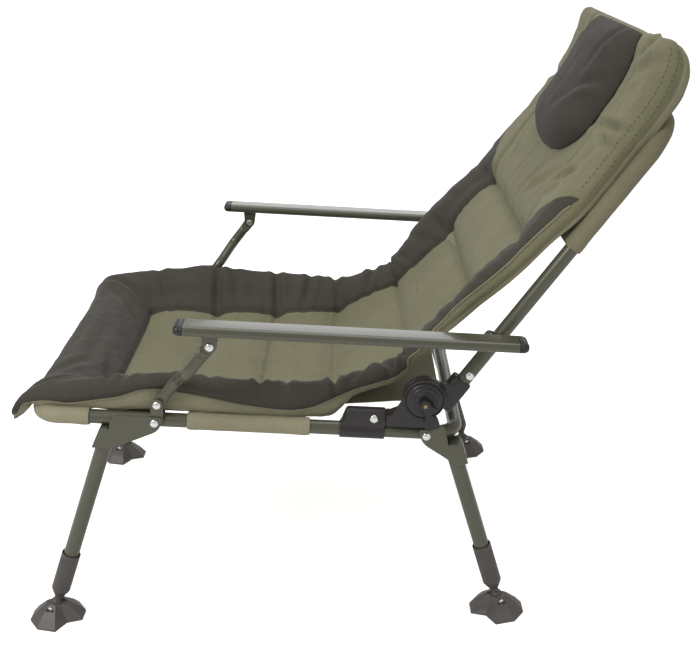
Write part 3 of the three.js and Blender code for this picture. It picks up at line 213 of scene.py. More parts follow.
def tube_rings(stations, radius, sides=32):
    """Rings of a round tube at its stations."""
    heading = stations[0][1]
    normal = heading.cross(Vector((1, 0, 0)))
    normal = normal.normalized() if normal.length > 0.5 else Vector((0, 1, 0))
    rings = []
    for centre, along in stations:
        normal = (heading.rotation_difference(along) @ normal).normalized()
        heading = along
        across = along.cross(normal)
        rings.append([centre + normal * a + across * b for a, b in circle(radius, sides)])
    return rings


def joined(*shapes):
    """Several (points, faces) as one."""
    points, faces = [], []
    for more, these in shapes:
        start = len(points)
        points += list(more)
        faces += [tuple(start + k for k in face) for face in these]
    return points, faces


def slab(outline, place, x0, x1):
    """An outline of (a, b) in mm pushed out along X, each point put in the row frame by place."""
    points = [place(x, a, b) for x in (x0, x1) for a, b in outline]
    n = len(outline)
    faces = [tuple(range(n)), tuple(range(2 * n - 1, n - 1, -1))]
    faces += [(i, n + i, n + (i + 1) % n, (i + 1) % n) for i in range(n)]
    return points, facing_out(points, faces)


def rounded(corners, steps=5):
    """Outline points of corners (a, b, share): the share of the shorter edge that the corner takes."""
    points = []
    for i, corner in enumerate(corners):
        a, b, share = (*corner, 0)[:3]
        if not share:
            points.append((a, b))
            continue
        here = Vector((a, b))
        back = Vector(corners[i - 1][:2]) - here
        on = Vector(corners[(i + 1) % len(corners)][:2]) - here
        reach = share * min(back.length, on.length)
        start, end = here + back.normalized() * reach, here + on.normalized() * reach
        for k in range(steps + 1):
            t = k / steps
            spot = start * (1 - t) ** 2 + here * 2 * t * (1 - t) + end * t ** 2
            points.append((spot.x, spot.y))
    return points


def ease(made, width, segments=2, angle=35):
    """Rounds a piece's sharp edges with a small bevel."""
    bevel = made.modifiers.new("eased_edges", "BEVEL")
    bevel.width, bevel.segments = width * MM, segments
    bevel.limit_method, bevel.angle_limit = "ANGLE", math.radians(angle)
    bevel.use_clamp_overlap = True
    bevel.harden_normals = True


def piece(name, shape, material, body, nodes=(), eased=None, sharp=32):
    """A new mesh with its paint slot, and its edges eased by (width, segments)."""
    made = new_mesh(name, *shape, [material], body, nodes, sharp)
    if eased:
        ease(made, *eased)
    return made


def blank_finish(name):
    """A new material, its node tree, its shader and the piece's own coordinates."""
    made = bpy.data.materials.new(name)
    made.use_nodes = True
    tree = made.node_tree
    coordinates = tree.nodes.new("ShaderNodeTexCoord").outputs["Object"]
    return made, tree, tree.nodes["Principled BSDF"], coordinates


def noise_at(tree, coordinates, scale, detail):
    """A noise over a piece."""
    made = tree.nodes.new("ShaderNodeTexNoise")
    made.inputs["Scale"].default_value, made.inputs["Detail"].default_value = scale, detail
    tree.links.new(coordinates, made.inputs["Vector"])
    return made.outputs["Fac"]


def mixed(tree, blend, factor, first, second):
    """Two colours mixed; factor, first and second are each a constant or a node's output."""
    made = tree.nodes.new("ShaderNodeMix")
    made.data_type, made.blend_type = "RGBA", blend
    for name, value in (("Factor", factor), ("A", first), ("B", second)):
        if isinstance(value, bpy.types.NodeSocket):
            tree.links.new(value, made.inputs[name])
        else:
            made.inputs[name].default_value = value
    return made.outputs["Result"]


def bumped(tree, height, strength, distance, before=None):
    """A bump of the surface by a height, on top of an earlier bump."""
    made = tree.nodes.new("ShaderNodeBump")
    made.inputs["Strength"].default_value, made.inputs["Distance"].default_value = strength, distance
    tree.links.new(height, made.inputs["Height"])
    if before:
        tree.links.new(before, made.inputs["Normal"])
    return made.outputs["Normal"]


def finish_of(name, colour, roughness, metal=0.0, coat=0.0, grain=60.0, depth=0.05, vary=0.08):
    """A procedural finish: noise varies the colour and the roughness, and a fine grain bumps it."""
    made, tree, shader, coordinates = blank_finish(name)
    for socket, value in (("Metallic", metal), ("Coat Weight", coat), ("Coat Roughness", 0.12)):
        shader.inputs[socket].default_value = value
    tone = spread(tree, noise_at(tree, coordinates, 9, 5), 1 - vary, 1 + vary)
    tree.links.new(mixed(tree, "MULTIPLY", 1, (*colour, 1), tone), shader.inputs["Base Color"])
    fine_grain = noise_at(tree, coordinates, grain, 8)
    tree.links.new(spread(tree, fine_grain, roughness - 0.08, roughness + 0.08), shader.inputs["Roughness"])
    tree.links.new(bumped(tree, fine_grain, depth, 0.0006), shader.inputs["Normal"])
    return made


olive_paint = finish_of("olive_powder_coat", (0.074, 0.072, 0.044), 0.30, coat=0.30, grain=900, depth=0.12)

FRONT_REACH, REAR_REACH, HALVES_MEET, HALVES_APART = 580, 55, -89, 0.6
FRONT_BEND, REAR_BEND = 32 * MM, 36 * MM


def rail_hoop(u_end, u_turn, bend):
    """Stations from one rail across the chair to the other."""
    corners = ((RAIL_X, u_end), (RAIL_X, u_turn), (-RAIL_X, u_turn), (-RAIL_X, u_end))
    return bent_line([on_seat(x, u, 0) for x, u in corners], bend)


front_line = rail_hoop(HALVES_MEET, -FRONT_REACH, FRONT_BEND)
rear_line = rail_hoop(HALVES_MEET + HALVES_APART, REAR_REACH, REAR_BEND)
EAR_U, EAR_TOP, EAR_HALF, EAR_FROM, EAR_TO = -397.95, 28.76, 9.5, 290.5, 293.5
ear = rounded([(EAR_U - EAR_HALF, -5.5), (EAR_U + EAR_HALF, -5.5),
               (EAR_U + EAR_HALF, EAR_TOP + EAR_HALF, 0.48), (EAR_U - EAR_HALF, EAR_TOP + EAR_HALF, 0.48)])
ears = [slab(ear, on_seat, side * EAR_FROM, side * EAR_TO) for _, side in SIDES]
piece("seat_hoop_front", joined(skin(tube_rings(front_line, RAIL_RADIUS * MM)), *ears), olive_paint, "seat",
      ["seat_frame_front"], eased=(0.8,))
piece("seat_hoop_rear", skin(tube_rings(rear_line, RAIL_RADIUS * MM)), olive_paint, "seat",
      ["seat_frame_rear"], eased=(0.8,))

# Back hoop: the same tube bent to an inverted U that leans back. It stands in the two plastic
# sockets and carries a welded tab each side that the armrests turn on.
BACK_LEAN, TUBE_BEHIND, BACK_REACH, TUBE_START = math.radians(36.9), 35.5, 520, 6
BACK_BEND = 55 * MM


def on_back(x, p, a):
    """A place in mm behind the recline pivot (p) and up along the back tubes (a), in metres."""
    y = p * math.cos(BACK_LEAN) + a * math.sin(BACK_LEAN)
    z = -p * math.sin(BACK_LEAN) + a * math.cos(BACK_LEAN)
    return Vector((x * MM, pivot.y + y * MM, pivot.z + z * MM))


def back_hoop_line(start):
    """Stations up one back tube from a start, across and down the other."""
    corners = ((RAIL_X, start), (RAIL_X, BACK_REACH), (-RAIL_X, BACK_REACH), (-RAIL_X, start))
    return bent_line([on_back(x, TUBE_BEHIND, a) for x, a in corners], BACK_BEND)


TAB_P, TAB_A, TAB_RADIUS, TAB_FOOT, TAB_BOSS_END = 17.13, 132.91, 6.5, 15, 305.7
tab_tip = TAB_P - TAB_RADIUS
tab = rounded([(TUBE_BEHIND + 5.5, TAB_A - TAB_FOOT, 0.12), (TUBE_BEHIND + 5.5, TAB_A + TAB_FOOT, 0.12),
               (tab_tip, TAB_A + TAB_RADIUS, 0.45), (tab_tip, TAB_A - TAB_RADIUS, 0.45)])
boss = [(TAB_P + a, TAB_A + b) for a, b in circle(TAB_RADIUS, 24)]
tabs = [slab(shape, on_back, side * EAR_FROM, side * end)
        for _, side in SIDES for shape, end in ((tab, EAR_TO), (boss, TAB_BOSS_END))]
piece("back_hoop", joined(skin(tube_rings(back_hoop_line(TUBE_START), RAIL_RADIUS * MM)), *tabs), olive_paint,
      "backrest", ["back_frame"], eased=(0.8,))

# Rivets and bolts: bright plated steel, with a low domed head outside. Each is pressed through its
# joint and spread into a flatter tail on the inner side.
HEAD_TALL, TAIL_TALL, SHANK = 3.2, 2.4, 4.0
DOME = [(6.6, 0.0), (6.5, 0.6), (5.9, 1.6), (4.6, 2.5), (2.6, 3.05), (0.4, 3.2)]
TAIL = [(5.6, 0.0), (5.4, 1.4), (4.6, 2.1), (2.0, 2.4)]
PINS = ("clamp_rivet", "post_rivet", "armrest_rivet", "leg_bolt", "socket_bolt")
bright_steel = finish_of("bright_steel", (0.78, 0.78, 0.76), 0.26, metal=1.0, grain=400, depth=0.1, vary=0.05)


def spun(profile, place, sides=32):
    """A turned piece: profile of (radius, height) in mm, place puts (x, y, z) in the row frame."""
    return skin([[place(a, b, h) for a, b in circle(r, sides)] for r, h in profile])


def pin_place(x, middle, way):
    """Puts a pin's points beside a place on its axis, heights going out along X."""
    return lambda a, b, h: Vector((x + way * h * MM, middle.y + a * MM, middle.z + b * MM))


for body_name, members in frame["record"]["behaviour"]["bodies"].items():
    for node in (member for member in members if member.startswith(PINS)):
        low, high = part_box(node)
        side = 1 if low.x > 0 else -1
        outer, inner = (high.x, low.x) if side > 0 else (low.x, high.x)
        head, tail = outer - side * HEAD_TALL * MM, inner + side * TAIL_TALL * MM
        at_head = pin_place(head, (low + high) / 2, side)
        at_tail = pin_place(tail, (low + high) / 2, -side)
        shaft = spun([(SHANK, -abs(head - tail) / MM), (SHANK, 0.0)], at_head)
        piece(node + "_bright", joined(spun(DOME, at_head), spun(TAIL, at_tail), shaft), bright_steel,
              body_name, [node])

# Mattress: one quilted cover of woven polyester over thick wadding, sewn in channels. Seat borders
# and front are dark brown, the centre and the top third olive, and the underside a paler olive: painted
# light that stands for the light thrown up from the white floor into its shade. It lies on the sling
# and bends at the recline joint, and its lower seam is piped.
PAD_HALF, PAD_DEEP, PAD_WIDEST = 275, 50, 0.2815
WEAVE = 1500.0 / 6.28


def cloth_finish(name, colour, pale, sheen=0.12):
    """Woven polyester: crossed threads bump it, and soft clouds and thick threads vary its colour."""
    made, tree, shader, coordinates = blank_finish(name)
    for socket, value in (("Roughness", 0.82), ("Sheen Weight", sheen), ("Sheen Roughness", 0.45),
                          ("Specular IOR Level", 0.3)):
        shader.inputs[socket].default_value = value
    crossing = tree.nodes.new("ShaderNodeMath")
    crossing.operation = "MULTIPLY"
    for way, axis in enumerate(("X", "Z")):
        threads = tree.nodes.new("ShaderNodeTexWave")
        threads.wave_type, threads.bands_direction = "BANDS", axis
        for socket, value in (("Scale", WEAVE), ("Distortion", 1.2), ("Detail", 1), ("Detail Scale", 0.6)):
            threads.inputs[socket].default_value = value
        tree.links.new(coordinates, threads.inputs["Vector"])
        tree.links.new(threads.outputs["Fac"], crossing.inputs[way])
    clouds = spread(tree, noise_at(tree, coordinates, 7, 6), 0, 1, 0.3, 0.7)
    tone = mixed(tree, "MIX", clouds, (*colour, 1), (*pale, 1))
    thick_threads = spread(tree, noise_at(tree, coordinates, 260, 3), 0.82, 1.16)
    tree.links.new(mixed(tree, "MULTIPLY", 1, tone, thick_threads), shader.inputs["Base Color"])
    woven_bump = bumped(tree, crossing.outputs["Value"], 0.35, 0.0004)
    crushed_bump = bumped(tree, noise_at(tree, coordinates, 28, 4), 0.25, 0.003, woven_bump)
    tree.links.new(crushed_bump, shader.inputs["Normal"])
    return made


brown_cloth = cloth_finish("dark_brown_polyester", (0.036, 0.031, 0.024), (0.047, 0.041, 0.032), sheen=0.06)
olive_cloth = cloth_finish("olive_polyester", (0.158, 0.145, 0.086), (0.188, 0.173, 0.106))
# The underside's olive is paler than the top's: painted light standing for floor bounce in its shade
underside_painted_light_cloth = cloth_finish("olive_underside", (0.215, 0.202, 0.128), (0.26, 0.243, 0.158))
sleeve_cloth = cloth_finish("pale_olive_sleeve", (0.245, 0.228, 0.148), (0.29, 0.27, 0.178))
piping_cloth = cloth_finish("olive_piping", (0.19, 0.175, 0.112), (0.23, 0.21, 0.138))

# [along, half width, edge, crest, middle, underside], as shares of the reach, half width and depth
ON_SLING = 10.9 / PAD_DEEP
SEAT_ROWS = [
    [-1.048, 0.938, -0.30, -0.18, -0.26, -0.34], [-1.041, 0.965, -0.24, 0.22, 0.04, -0.26],
    [-1.029, 0.982, -0.10, 0.47, 0.28, -0.04], [-1.017, 0.989, 0.21, 0.64, 0.44, 0.30],
    [-0.983, 0.996, 0.38, 0.82, 0.62, 0.31], [-0.922, 1.000, 0.34, 0.98, 0.72, ON_SLING],
    [-0.879, 1.000, 0.42, 1.06, 0.58, ON_SLING], [-0.836, 1.000, 0.52, 1.14, 0.38, ON_SLING],
    [-0.790, 1.000, 0.63, 1.21, 0.52, ON_SLING], [-0.733, 0.996, 0.88, 1.32, 0.58, ON_SLING],
    [-0.676, 0.993, 0.92, 1.40, 0.54, ON_SLING], [-0.629, 0.993, 0.86, 1.40, 0.40, ON_SLING],
    [-0.583, 0.993, 0.78, 1.37, 0.54, ON_SLING], [-0.531, 0.993, 0.67, 1.32, 0.58, ON_SLING],
    [-0.479, 0.993, 0.56, 1.28, 0.54, ON_SLING], [-0.431, 0.993, 0.49, 1.28, 0.42, ON_SLING],
    [-0.383, 0.993, 0.44, 1.26, 0.56, ON_SLING], [-0.331, 0.988, 0.43, 1.27, 0.60, ON_SLING],
    [-0.279, 0.966, 0.53, 1.29, 0.56, ON_SLING], [-0.231, 0.935, 0.78, 1.33, 0.46, 0.24],
    [-0.181, 0.922, 1.06, 1.48, 0.80, 0.33], [-0.114, 0.922, 1.35, 1.81, 1.16, 0.48],
    [-0.066, 0.922, 1.60, 2.00, 1.36, 0.62]]
# The crease's half width, its place in mm, and (along, height) of its edge, crest, middle and underside
CREASE_HALF, CREASE_AT = 0.922, -10
CREASE = [(-0.041, 1.84), (-0.055, 2.08), (-0.043, 1.48), (-0.021, 0.72)]
ON_COVER = 22.0 / PAD_DEEP
BACK_ROWS = [
    [0.038, 0.927, -0.80, -1.04, -0.46, 0.08], [0.087, 0.938, -0.74, -1.00, -0.36, 0.16],
    [0.163, 0.967, -0.72, -1.04, -0.28, 0.24], [0.215, 0.985, -0.62, -1.01, -0.18, 0.27],
    [0.258, 0.994, -0.54, -0.94, 0.00, 0.28], [0.304, 0.996, -0.44, -0.90, -0.22, 0.30],
    [0.375, 0.996, -0.23, -0.81, -0.28, 0.33], [0.452, 0.996, -0.05, -0.62, -0.20, 0.37],
    [0.502, 0.996, 0.03, -0.53, 0.00, 0.40], [0.548, 0.996, 0.09, -0.52, -0.24, 0.42],
    [0.654, 1.000, 0.28, -0.48, -0.38, ON_COVER], [0.769, 1.000, 0.32, -0.40, -0.40, ON_COVER],
    [0.885, 1.004, 0.28, -0.36, -0.40, ON_COVER], [1.000, 1.004, 0.28, -0.48, -0.48, ON_COVER],
    [1.077, 1.000, 0.16, -0.68, -0.64, 0.40], [1.125, 0.989, -0.06, -0.88, -0.80, 0.12],
    [1.147, 0.967, -0.28, -0.90, -0.82, -0.12], [1.160, 0.939, -0.51, -0.78, -0.70, -0.39]]
# [place across, share of edge, crest, middle, underside], from the near seam to the middle
OVER_THE_TOP = [
    [1.00, 1.00, 0.00, 0.00, 0.00], [1.02, 0.62, 0.38, 0.00, 0.00], [1.00, 0.20, 0.80, 0.00, 0.00],
    [0.955, 0.00, 1.00, 0.00, 0.00], [0.90, 0.00, 0.97, 0.03, 0.00], [0.84, 0.00, 0.80, 0.20, 0.00],
    [0.77, 0.00, 0.42, 0.58, 0.00], [0.70, 0.00, 0.12, 0.88, 0.00], [0.55, 0.00, 0.00, 1.00, 0.00],
    [0.25, 0.00, 0.00, 1.00, 0.00]]
# [place across, share of the edge where the underside is flat, and where it slants up to its middle]
BELOW = [[0.250, 0.00, 0.00], [0.500, 0.00, 0.20], [0.750, 0.00, 0.50], [0.900, 0.00, 0.75],
         [1.012, 0.06, 0.92]]
# Where along the mattress the sling sags, and how far, in mm
SAG_AT, SAG = (-620, -575, -520, -470, -365, -250, -134, -30, 620), (0, 2, 20, 33, 33, 26, 16, 0, 0)
SAG_HALF = 262


def sag(u, x):
    """How far the sling hangs below its rails, in mm."""
    return np.interp(u, SAG_AT, SAG) * np.clip(1 - (np.abs(x) / SAG_HALF) ** 4, 0, 1)


def slanted_at(label):
    """How far a row's underside slants, from 0 at both ends of the mattress to 1 between them."""
    return float(np.interp(label, (-130, -100, 330, 380), (0, 1, 1, 0)))


def pad_ring(half, anchors, slant, place):
    """The control points of one row: over the top, near to far side, and back below."""
    def spot(share, weights, side):
        a, h = (sum(w * anchor[k] for w, anchor in zip(weights, anchors)) for k in (0, 1))
        return place(side * share * half, a, h)
    over = [(share, weights) for share, *weights in OVER_THE_TOP]
    below = []
    for share, flat, slanted in BELOW:
        up = flat + (slanted - flat) * slant
        below.append((share, (up, 0, 0, 1 - up)))
    middle, under = anchors[2:]
    top = [spot(*r, 1) for r in over] + [place(0, *middle)] + [spot(*r, -1) for r in reversed(over)]
    low = [spot(*r, -1) for r in reversed(below)] + [place(0, *under)] + [spot(*r, 1) for r in below]
    return top, [top[-1]] + low + [top[0]]


def through(values, knots, at):
    """A smooth curve through values at rising knots, read at the given places."""
    values, knots, at = np.asarray(values, float), np.asarray(knots, float), np.asarray(at, float)
    gap = np.diff(knots)
    rise = np.diff(values, axis=0) / gap[:, None]
    lean = np.empty_like(values)
    lean[1:-1] = (rise[:-1] * gap[1:, None] + rise[1:] * gap[:-1, None]) / (gap[1:] + gap[:-1])[:, None]
    lean[0], lean[-1] = rise[0], rise[-1]
    i = np.clip(np.searchsorted(knots, at, side="right") - 1, 0, len(gap) - 1)
    t = ((at - knots[i]) / gap[i])[:, None]
    h = gap[i][:, None]
    return ((2 * t ** 3 - 3 * t ** 2 + 1) * values[i] + (t ** 3 - 2 * t ** 2 + t) * h * lean[i]
            + (3 * t ** 2 - 2 * t ** 3) * values[i + 1] + (t ** 3 - t ** 2) * h * lean[i + 1])


def walked_round(ring):
    """The length walked along points, at each of them."""
    return np.concatenate([[0], np.cumsum(np.linalg.norm(np.diff(ring, axis=0), axis=1))])


rows = []
for table, reach, place in ((SEAT_ROWS, FRONT_REACH, on_seat),
                            (BACK_ROWS, BACK_REACH, lambda x, a, h: on_back(x, h, a))):
    for along, half, *heights in table:
        label = along * reach
        anchors = [(label, h * PAD_DEEP) for h in heights]
        rows.append((label, pad_ring(half * PAD_HALF, anchors, slanted_at(label), place)))
crease_anchors = [(a * FRONT_REACH, h * PAD_DEEP) for a, h in CREASE]
rows.insert(len(SEAT_ROWS), (CREASE_AT, pad_ring(CREASE_HALF * PAD_HALF, crease_anchors, 1, on_seat)))
tops = np.array([[tuple(p) for p in top] for _, (top, _) in rows])
lows = np.array([[tuple(p) for p in low] for _, (_, low) in rows])
run = walked_round(tops[:, 3])
along_mm = np.array([a for a, _ in rows])
BORDER_SEAM, COLOUR_CHANGE, ROW_APART = 185, -485, 0.0034
# [place along, half width and depth of each seam across the mattress]
CROSS_SEAMS = [(COLOUR_CHANGE, 187, 6.0), (-365, 187, 2.6), (-250, 187, 5.5), (-134, 187, 5.5),
               (CREASE_AT, 190, 7.0), (134, 187, 6.0), (261, 187, 6.5)]
steps = int(run[-1] / ROW_APART)
fine = np.linspace(0, run[-1], steps)
for at, _, _ in CROSS_SEAMS:
    seam_run = np.interp(at, along_mm, run)
    fine[np.argmin(np.abs(fine - seam_run))] = seam_run
labels = np.interp(fine, run, along_mm)
IN_BORDER, IN_MIDDLE, UNDER = 38, 94, 48
ACROSS = 2 * IN_BORDER + IN_MIDDLE


def over_top(ring):
    """Places over the top of one row, with a column on each border seam."""
    knots = walked_round(ring)
    at = np.linspace(0, knots[-1], 500)
    x = through(ring, knots, at)[:, 0] / MM
    near_seam, far_seam = at[np.argmax(x < BORDER_SEAM)], at[np.argmax(x < -BORDER_SEAM)]
    parts = ((0, near_seam, IN_BORDER), (near_seam, far_seam, IN_MIDDLE), (far_seam, knots[-1], IN_BORDER))
    return through(ring, knots, np.concatenate([np.linspace(a, b, n + 1)[:-1] for a, b, n in parts]))


def round_below(ring):
    """Places back under one row."""
    knots = walked_round(ring)
    return through(ring, knots, np.linspace(0, knots[-1], UNDER + 1)[:-1])


def near(distance, width):
    """1 at no distance, falling softly to 0 beyond a width."""
    return np.exp(-(distance / width) ** 2)


def from_fold(along, across, at, mid, heading):
    """Distances along a fold and off it, of places along and across the mattress."""
    c, s = math.cos(math.radians(heading)), math.sin(math.radians(heading))
    return (along - at) * c + (across - mid) * s, -(along - at) * s + (across - mid) * c


top_grid = through(tops.reshape(len(rows), -1), run, fine).reshape(steps, -1, 3)
low_grid = through(lows.reshape(len(rows), -1), run, fine).reshape(steps, -1, 3)
grid = np.array([np.concatenate([over_top(t), round_below(b)]) for t, b in zip(top_grid, low_grid)])
ring_count = grid.shape[1]
down = np.array(on_seat(0, 0, -1) - on_seat(0, 0, 0)) / MM
label_of = np.repeat(labels[:, None], ring_count, axis=1)
grid += down * (sag(label_of, grid[:, :, 0] / MM) * MM)[:, :, None]

# Folds in the cover: along, across, heading in degrees, length, width, depth in mm
FOLDS = [
    (-542, 226, -36, 52, 9, 5.0), (-542, -226, 36, 52, 9, 5.0), (-560, 150, -60, 40, 12, 2.5),
    (-545, -60, 74, 70, 13, 3.0), (-540, 40, 88, 80, 14, 3.0), (-520, -150, 50, 50, 11, 3.0),
    (-575, 0, 90, 120, 8, 2.0), (-505, 120, 80, 60, 11, 2.5), (-470, -232, 66, 46, 10, 4.0),
    (-365, -225, 84, 46, 10, 5.5), (-330, -232, 75, 40, 10, 3.0), (-250, -226, 82, 46, 10, 5.5),
    (-190, -232, 98, 40, 10, 4.0), (-134, -226, 80, 44, 9, 6.0), (-70, -228, 100, 44, 9, 5.0),
    (-10, -222, 88, 44, 9, 7.0), (40, -225, 76, 40, 9, 5.0), (85, -228, 62, 46, 10, 5.0),
    (134, -225, 94, 44, 9, 6.5), (195, -230, 60, 50, 12, 3.5), (261, -225, 84, 42, 10, 6.0),
    (-482, 236, 78, 34, 8, 4.5), (-440, 242, 118, 34, 9, 4.0), (-365, 240, 84, 38, 8, 5.5),
    (-330, 244, 60, 34, 9, 3.0), (-250, 240, 80, 40, 8, 6.0), (-205, 240, 104, 34, 8, 4.0),
    (-134, 236, 84, 40, 8, 7.0), (-100, 238, 118, 38, 8, 5.0), (-55, 236, 70, 42, 9, 6.0),
    (-22, 238, 108, 46, 8, 7.0), (18, 236, 62, 42, 9, 7.0), (55, 238, 114, 46, 8, 6.0),
    (95, 240, 70, 42, 9, 5.0), (134, 236, 84, 42, 8, 6.5), (175, 240, 64, 38, 9, 3.5),
    (261, 226, 88, 36, 9, 6.0), (225, 244, 70, 40, 10, 3.0), (318, 60, 30, 70, 12, 2.5),
    (300, -40, 20, 80, 12, 2.0), (345, 130, 50, 70, 13, 3.0), (330, -120, 150, 70, 12, 2.0),
    (468, 232, 82, 50, 9, 7.0), (448, 240, 100, 40, 9, 4.0), (560, 235, 70, 50, 12, 3.0),
    (475, -230, 96, 50, 12, 5.0), (395, 228, 20, 70, 12, 2.5), (590, 215, 60, 36, 10, 3.5),
    (372, 205, 60, 40, 9, 4.0), (-600, 120, 90, 90, 7, 1.5), (200, 40, 86, 120, 16, 1.8),
    (-190, 30, 88, 140, 16, 1.5), (-310, -40, 92, 120, 16, 1.5), (60, -30, 84, 130, 16, 1.8)]
FOLD_NARROWER, FOLD_DEEPER = 0.72, 1.15
mattress_faces = []
for i in range(steps - 1):
    for j in range(ring_count):
        a, b = i * ring_count + j, i * ring_count + (j + 1) % ring_count
        mattress_faces.append((a, a + ring_count, b + ring_count, b))
mattress_faces.append(tuple(range(ring_count)))
mattress_faces.append(tuple(reversed(range((steps - 1) * ring_count, steps * ring_count))))
# Faces below the piping take the underside slot, whose paler olive is painted light from the floor
TWO_TONE, UNDERSIDE_PAINTED_LIGHT, PIPING, THREAD = range(4)
face_finish = [UNDERSIDE_PAINTED_LIGHT if j >= ACROSS else TWO_TONE for _ in range(steps - 1) for j in range(ring_count)]
face_finish += [TWO_TONE, TWO_TONE]
mattress_points = grid.reshape(-1, 3)
mattress = new_mesh("mattress", mattress_points, facing_out(mattress_points.tolist(), mattress_faces), [],
                    None, sharp=0)
outward = np.empty(len(mattress_points) * 3)
mattress.data.vertex_normals.foreach_get("vector", outward)
outward = outward.reshape(-1, 3)

# Seams pull the cover in, the wadding puckers it beside them, and folds and soft dents cross it
X, column = grid[:, :, 0] / MM, np.arange(ring_count)[None, :]
on_top = (column > 0) & (column < ACROSS)
edge_fade = np.where(on_top, np.clip(np.minimum(column, ACROSS - column) / 9, 0, 1), 0)
from_border = np.abs(X) - BORDER_SEAM
has_border = np.clip((label_of - COLOUR_CHANGE + 6) / 10, 0, 1)
lift = -5.5 * near(from_border, 4.5) * has_border + 2.0 * near(from_border - 16, 12) * has_border
calm_back = 1 - 0.72 * np.clip((label_of - 10) / 40, 0, 1) * np.clip((330 - label_of) / 40, 0, 1)
to_side = np.where(label_of > COLOUR_CHANGE, np.abs(from_border), 99)
to_cross = np.full_like(lift, 99.0)
for at, half, deep in CROSS_SEAMS:
    reached = np.clip((half + 6 - np.abs(X)) / 8, 0, 1)
    lift -= deep * near(label_of - at, 4.5) * reached
    to_cross = np.minimum(to_cross, np.where(reached > 0, np.abs(label_of - at), 99))
for at, mid, heading, length, width, deep in FOLDS:
    width, deep = FOLD_NARROWER * width, FOLD_DEEPER * deep
    along_fold, off_fold = from_fold(label_of, X, at, mid, heading)
    beside = 0.6 * near(off_fold - 1.9 * width, width) + 0.5 * near(off_fold + 1.9 * width, width)
    lift -= deep * near(along_fold, length) * (near(off_fold, width) - beside) * edge_fade * calm_back
pucker_cross = np.exp(-to_cross / 17) - np.exp(-to_cross / 3)
pucker_side = np.exp(-to_side / 17) - np.exp(-to_side / 3)
rumple = np.zeros_like(lift)
for i, label in enumerate(labels):
    for j in range(ring_count):
        x = X[i, j]
        place = Vector((label, x, grid[i, j, 2] / MM))
        if 0 < j < ACROSS:
            dents = (1.9 if abs(x) > BORDER_SEAM else 1.0) * noise.noise(place / 38)
            rumple[i, j] = (2.6 * pucker_cross[i, j] * noise.noise(Vector((label / 50, x / 10, 3.1)))
                            + 2.8 * pucker_side[i, j] * noise.noise(Vector((label / 10, x / 50, 8.3)))
                            + edge_fade[0, j] * (dents + 0.8 * noise.noise(place / 15)))
        elif j > ACROSS and abs(x) > 200:
            fade = min(1.0, min(j - ACROSS, ring_count - j) / 3)
            rumple[i, j] = fade * (1.5 * noise.noise(place / 30) - 0.5)
lift = np.where(on_top, lift, 0) + rumple
moved = mattress_points + outward * lift.reshape(-1, 1) * MM
corner = np.clip((np.abs(X) - 226) / 50, 0, 1) ** 2 * np.clip((-545 - label_of) / 55, 0, 1)
corner *= np.where(X > 0, 1, 0.3)
moved += np.array(on_seat(0, -23, -3) - on_seat(0, 0, 0)) * corner.reshape(-1, 1)
top_corner = np.clip((np.abs(X) - 215) / 55, 0, 1) ** 2 * np.clip((label_of - 548) / 50, 0, 1)
moved += np.array(on_back(0, -2, 4) - on_back(0, 0, 0)) * top_corner.reshape(-1, 1)
moved[:, 0] += (np.sign(X) * top_corner).ravel() * 3 * MM
moved[:, 0] = np.clip(moved[:, 0], -PAD_WIDEST, PAD_WIDEST)

# How far each place lies inside the brown cloth, in mm: the front, the borders up to a slanted seam
# and down to the piping, below which the olive side wall shows
SLANT_ALONG, SLANT_ACROSS, COLUMN_APART = 97, 88, 3.5
side_wall = np.interp(label_of, (-70, -10, 60, 134, 261, 340, 372), (0, 5, 13, 20, 25, 26, 18))
from_edge = np.where(on_top, np.minimum(column, ACROSS - column) * COLUMN_APART, 0)
below_slant = ((np.abs(X) - 187) * SLANT_ALONG - (label_of - 263) * SLANT_ACROSS)
below_slant /= math.hypot(SLANT_ALONG, SLANT_ACROSS)
brown_depth = np.maximum(COLOUR_CHANGE - label_of, np.minimum(from_border, below_slant))
brown_depth = np.where(label_of > -70, np.minimum(brown_depth, from_edge - side_wall), brown_depth)


def seam_line(far, start, end, out=0.9):
    """Points along the piping of one side between two places along the mattress, moved out a little."""
    found = []
    for i in range(steps):
        if start <= labels[i] <= end:
            share = side_wall[i, 0] / COLUMN_APART
            first, part = int(share), share - int(share)
            pair = [i * ring_count + (ACROSS - k if far else k) for k in (first, first + 1)]
            on_cloth, up = (v[pair[0]] * (1 - part) + v[pair[1]] * part for v in (moved, outward))
            found.append(Vector(on_cloth + up * out * MM))
    return found


def cord_shape(points, radius, sides=8):
    """A thin closed tube along points."""
    stations = [(p, (points[min(i + 1, len(points) - 1)] - points[max(i - 1, 0)]).normalized())
                for i, p in enumerate(points)]
    return skin(tube_rings(stations, radius * MM, sides))


def stitches(points, outs, length=4.6, gap=3.0, thick=0.5):
    """Short threads along a line, each a little six-sided grain."""
    grain = ((-length / 2, thick * 0.4), (-length / 4, thick), (length / 4, thick), (length / 2, thick * 0.4))
    shapes, walked = [], 0.0
    for here, after, up in zip(points, points[1:], outs):
        size = (after - here).length / MM
        along = (after - here).normalized()
        across_it = along.cross(up)
        t = 0.0
        while walked + (size - t) > length + gap:
            t += length + gap - walked
            walked = 0.0
            centre = here + along * t * MM
            shapes.append(skin([[centre + along * d * MM + across_it * a + up * b
                                 for a, b in circle(r * MM, 6)] for d, r in grain]))
        walked += size - t
    return joined(*shapes)


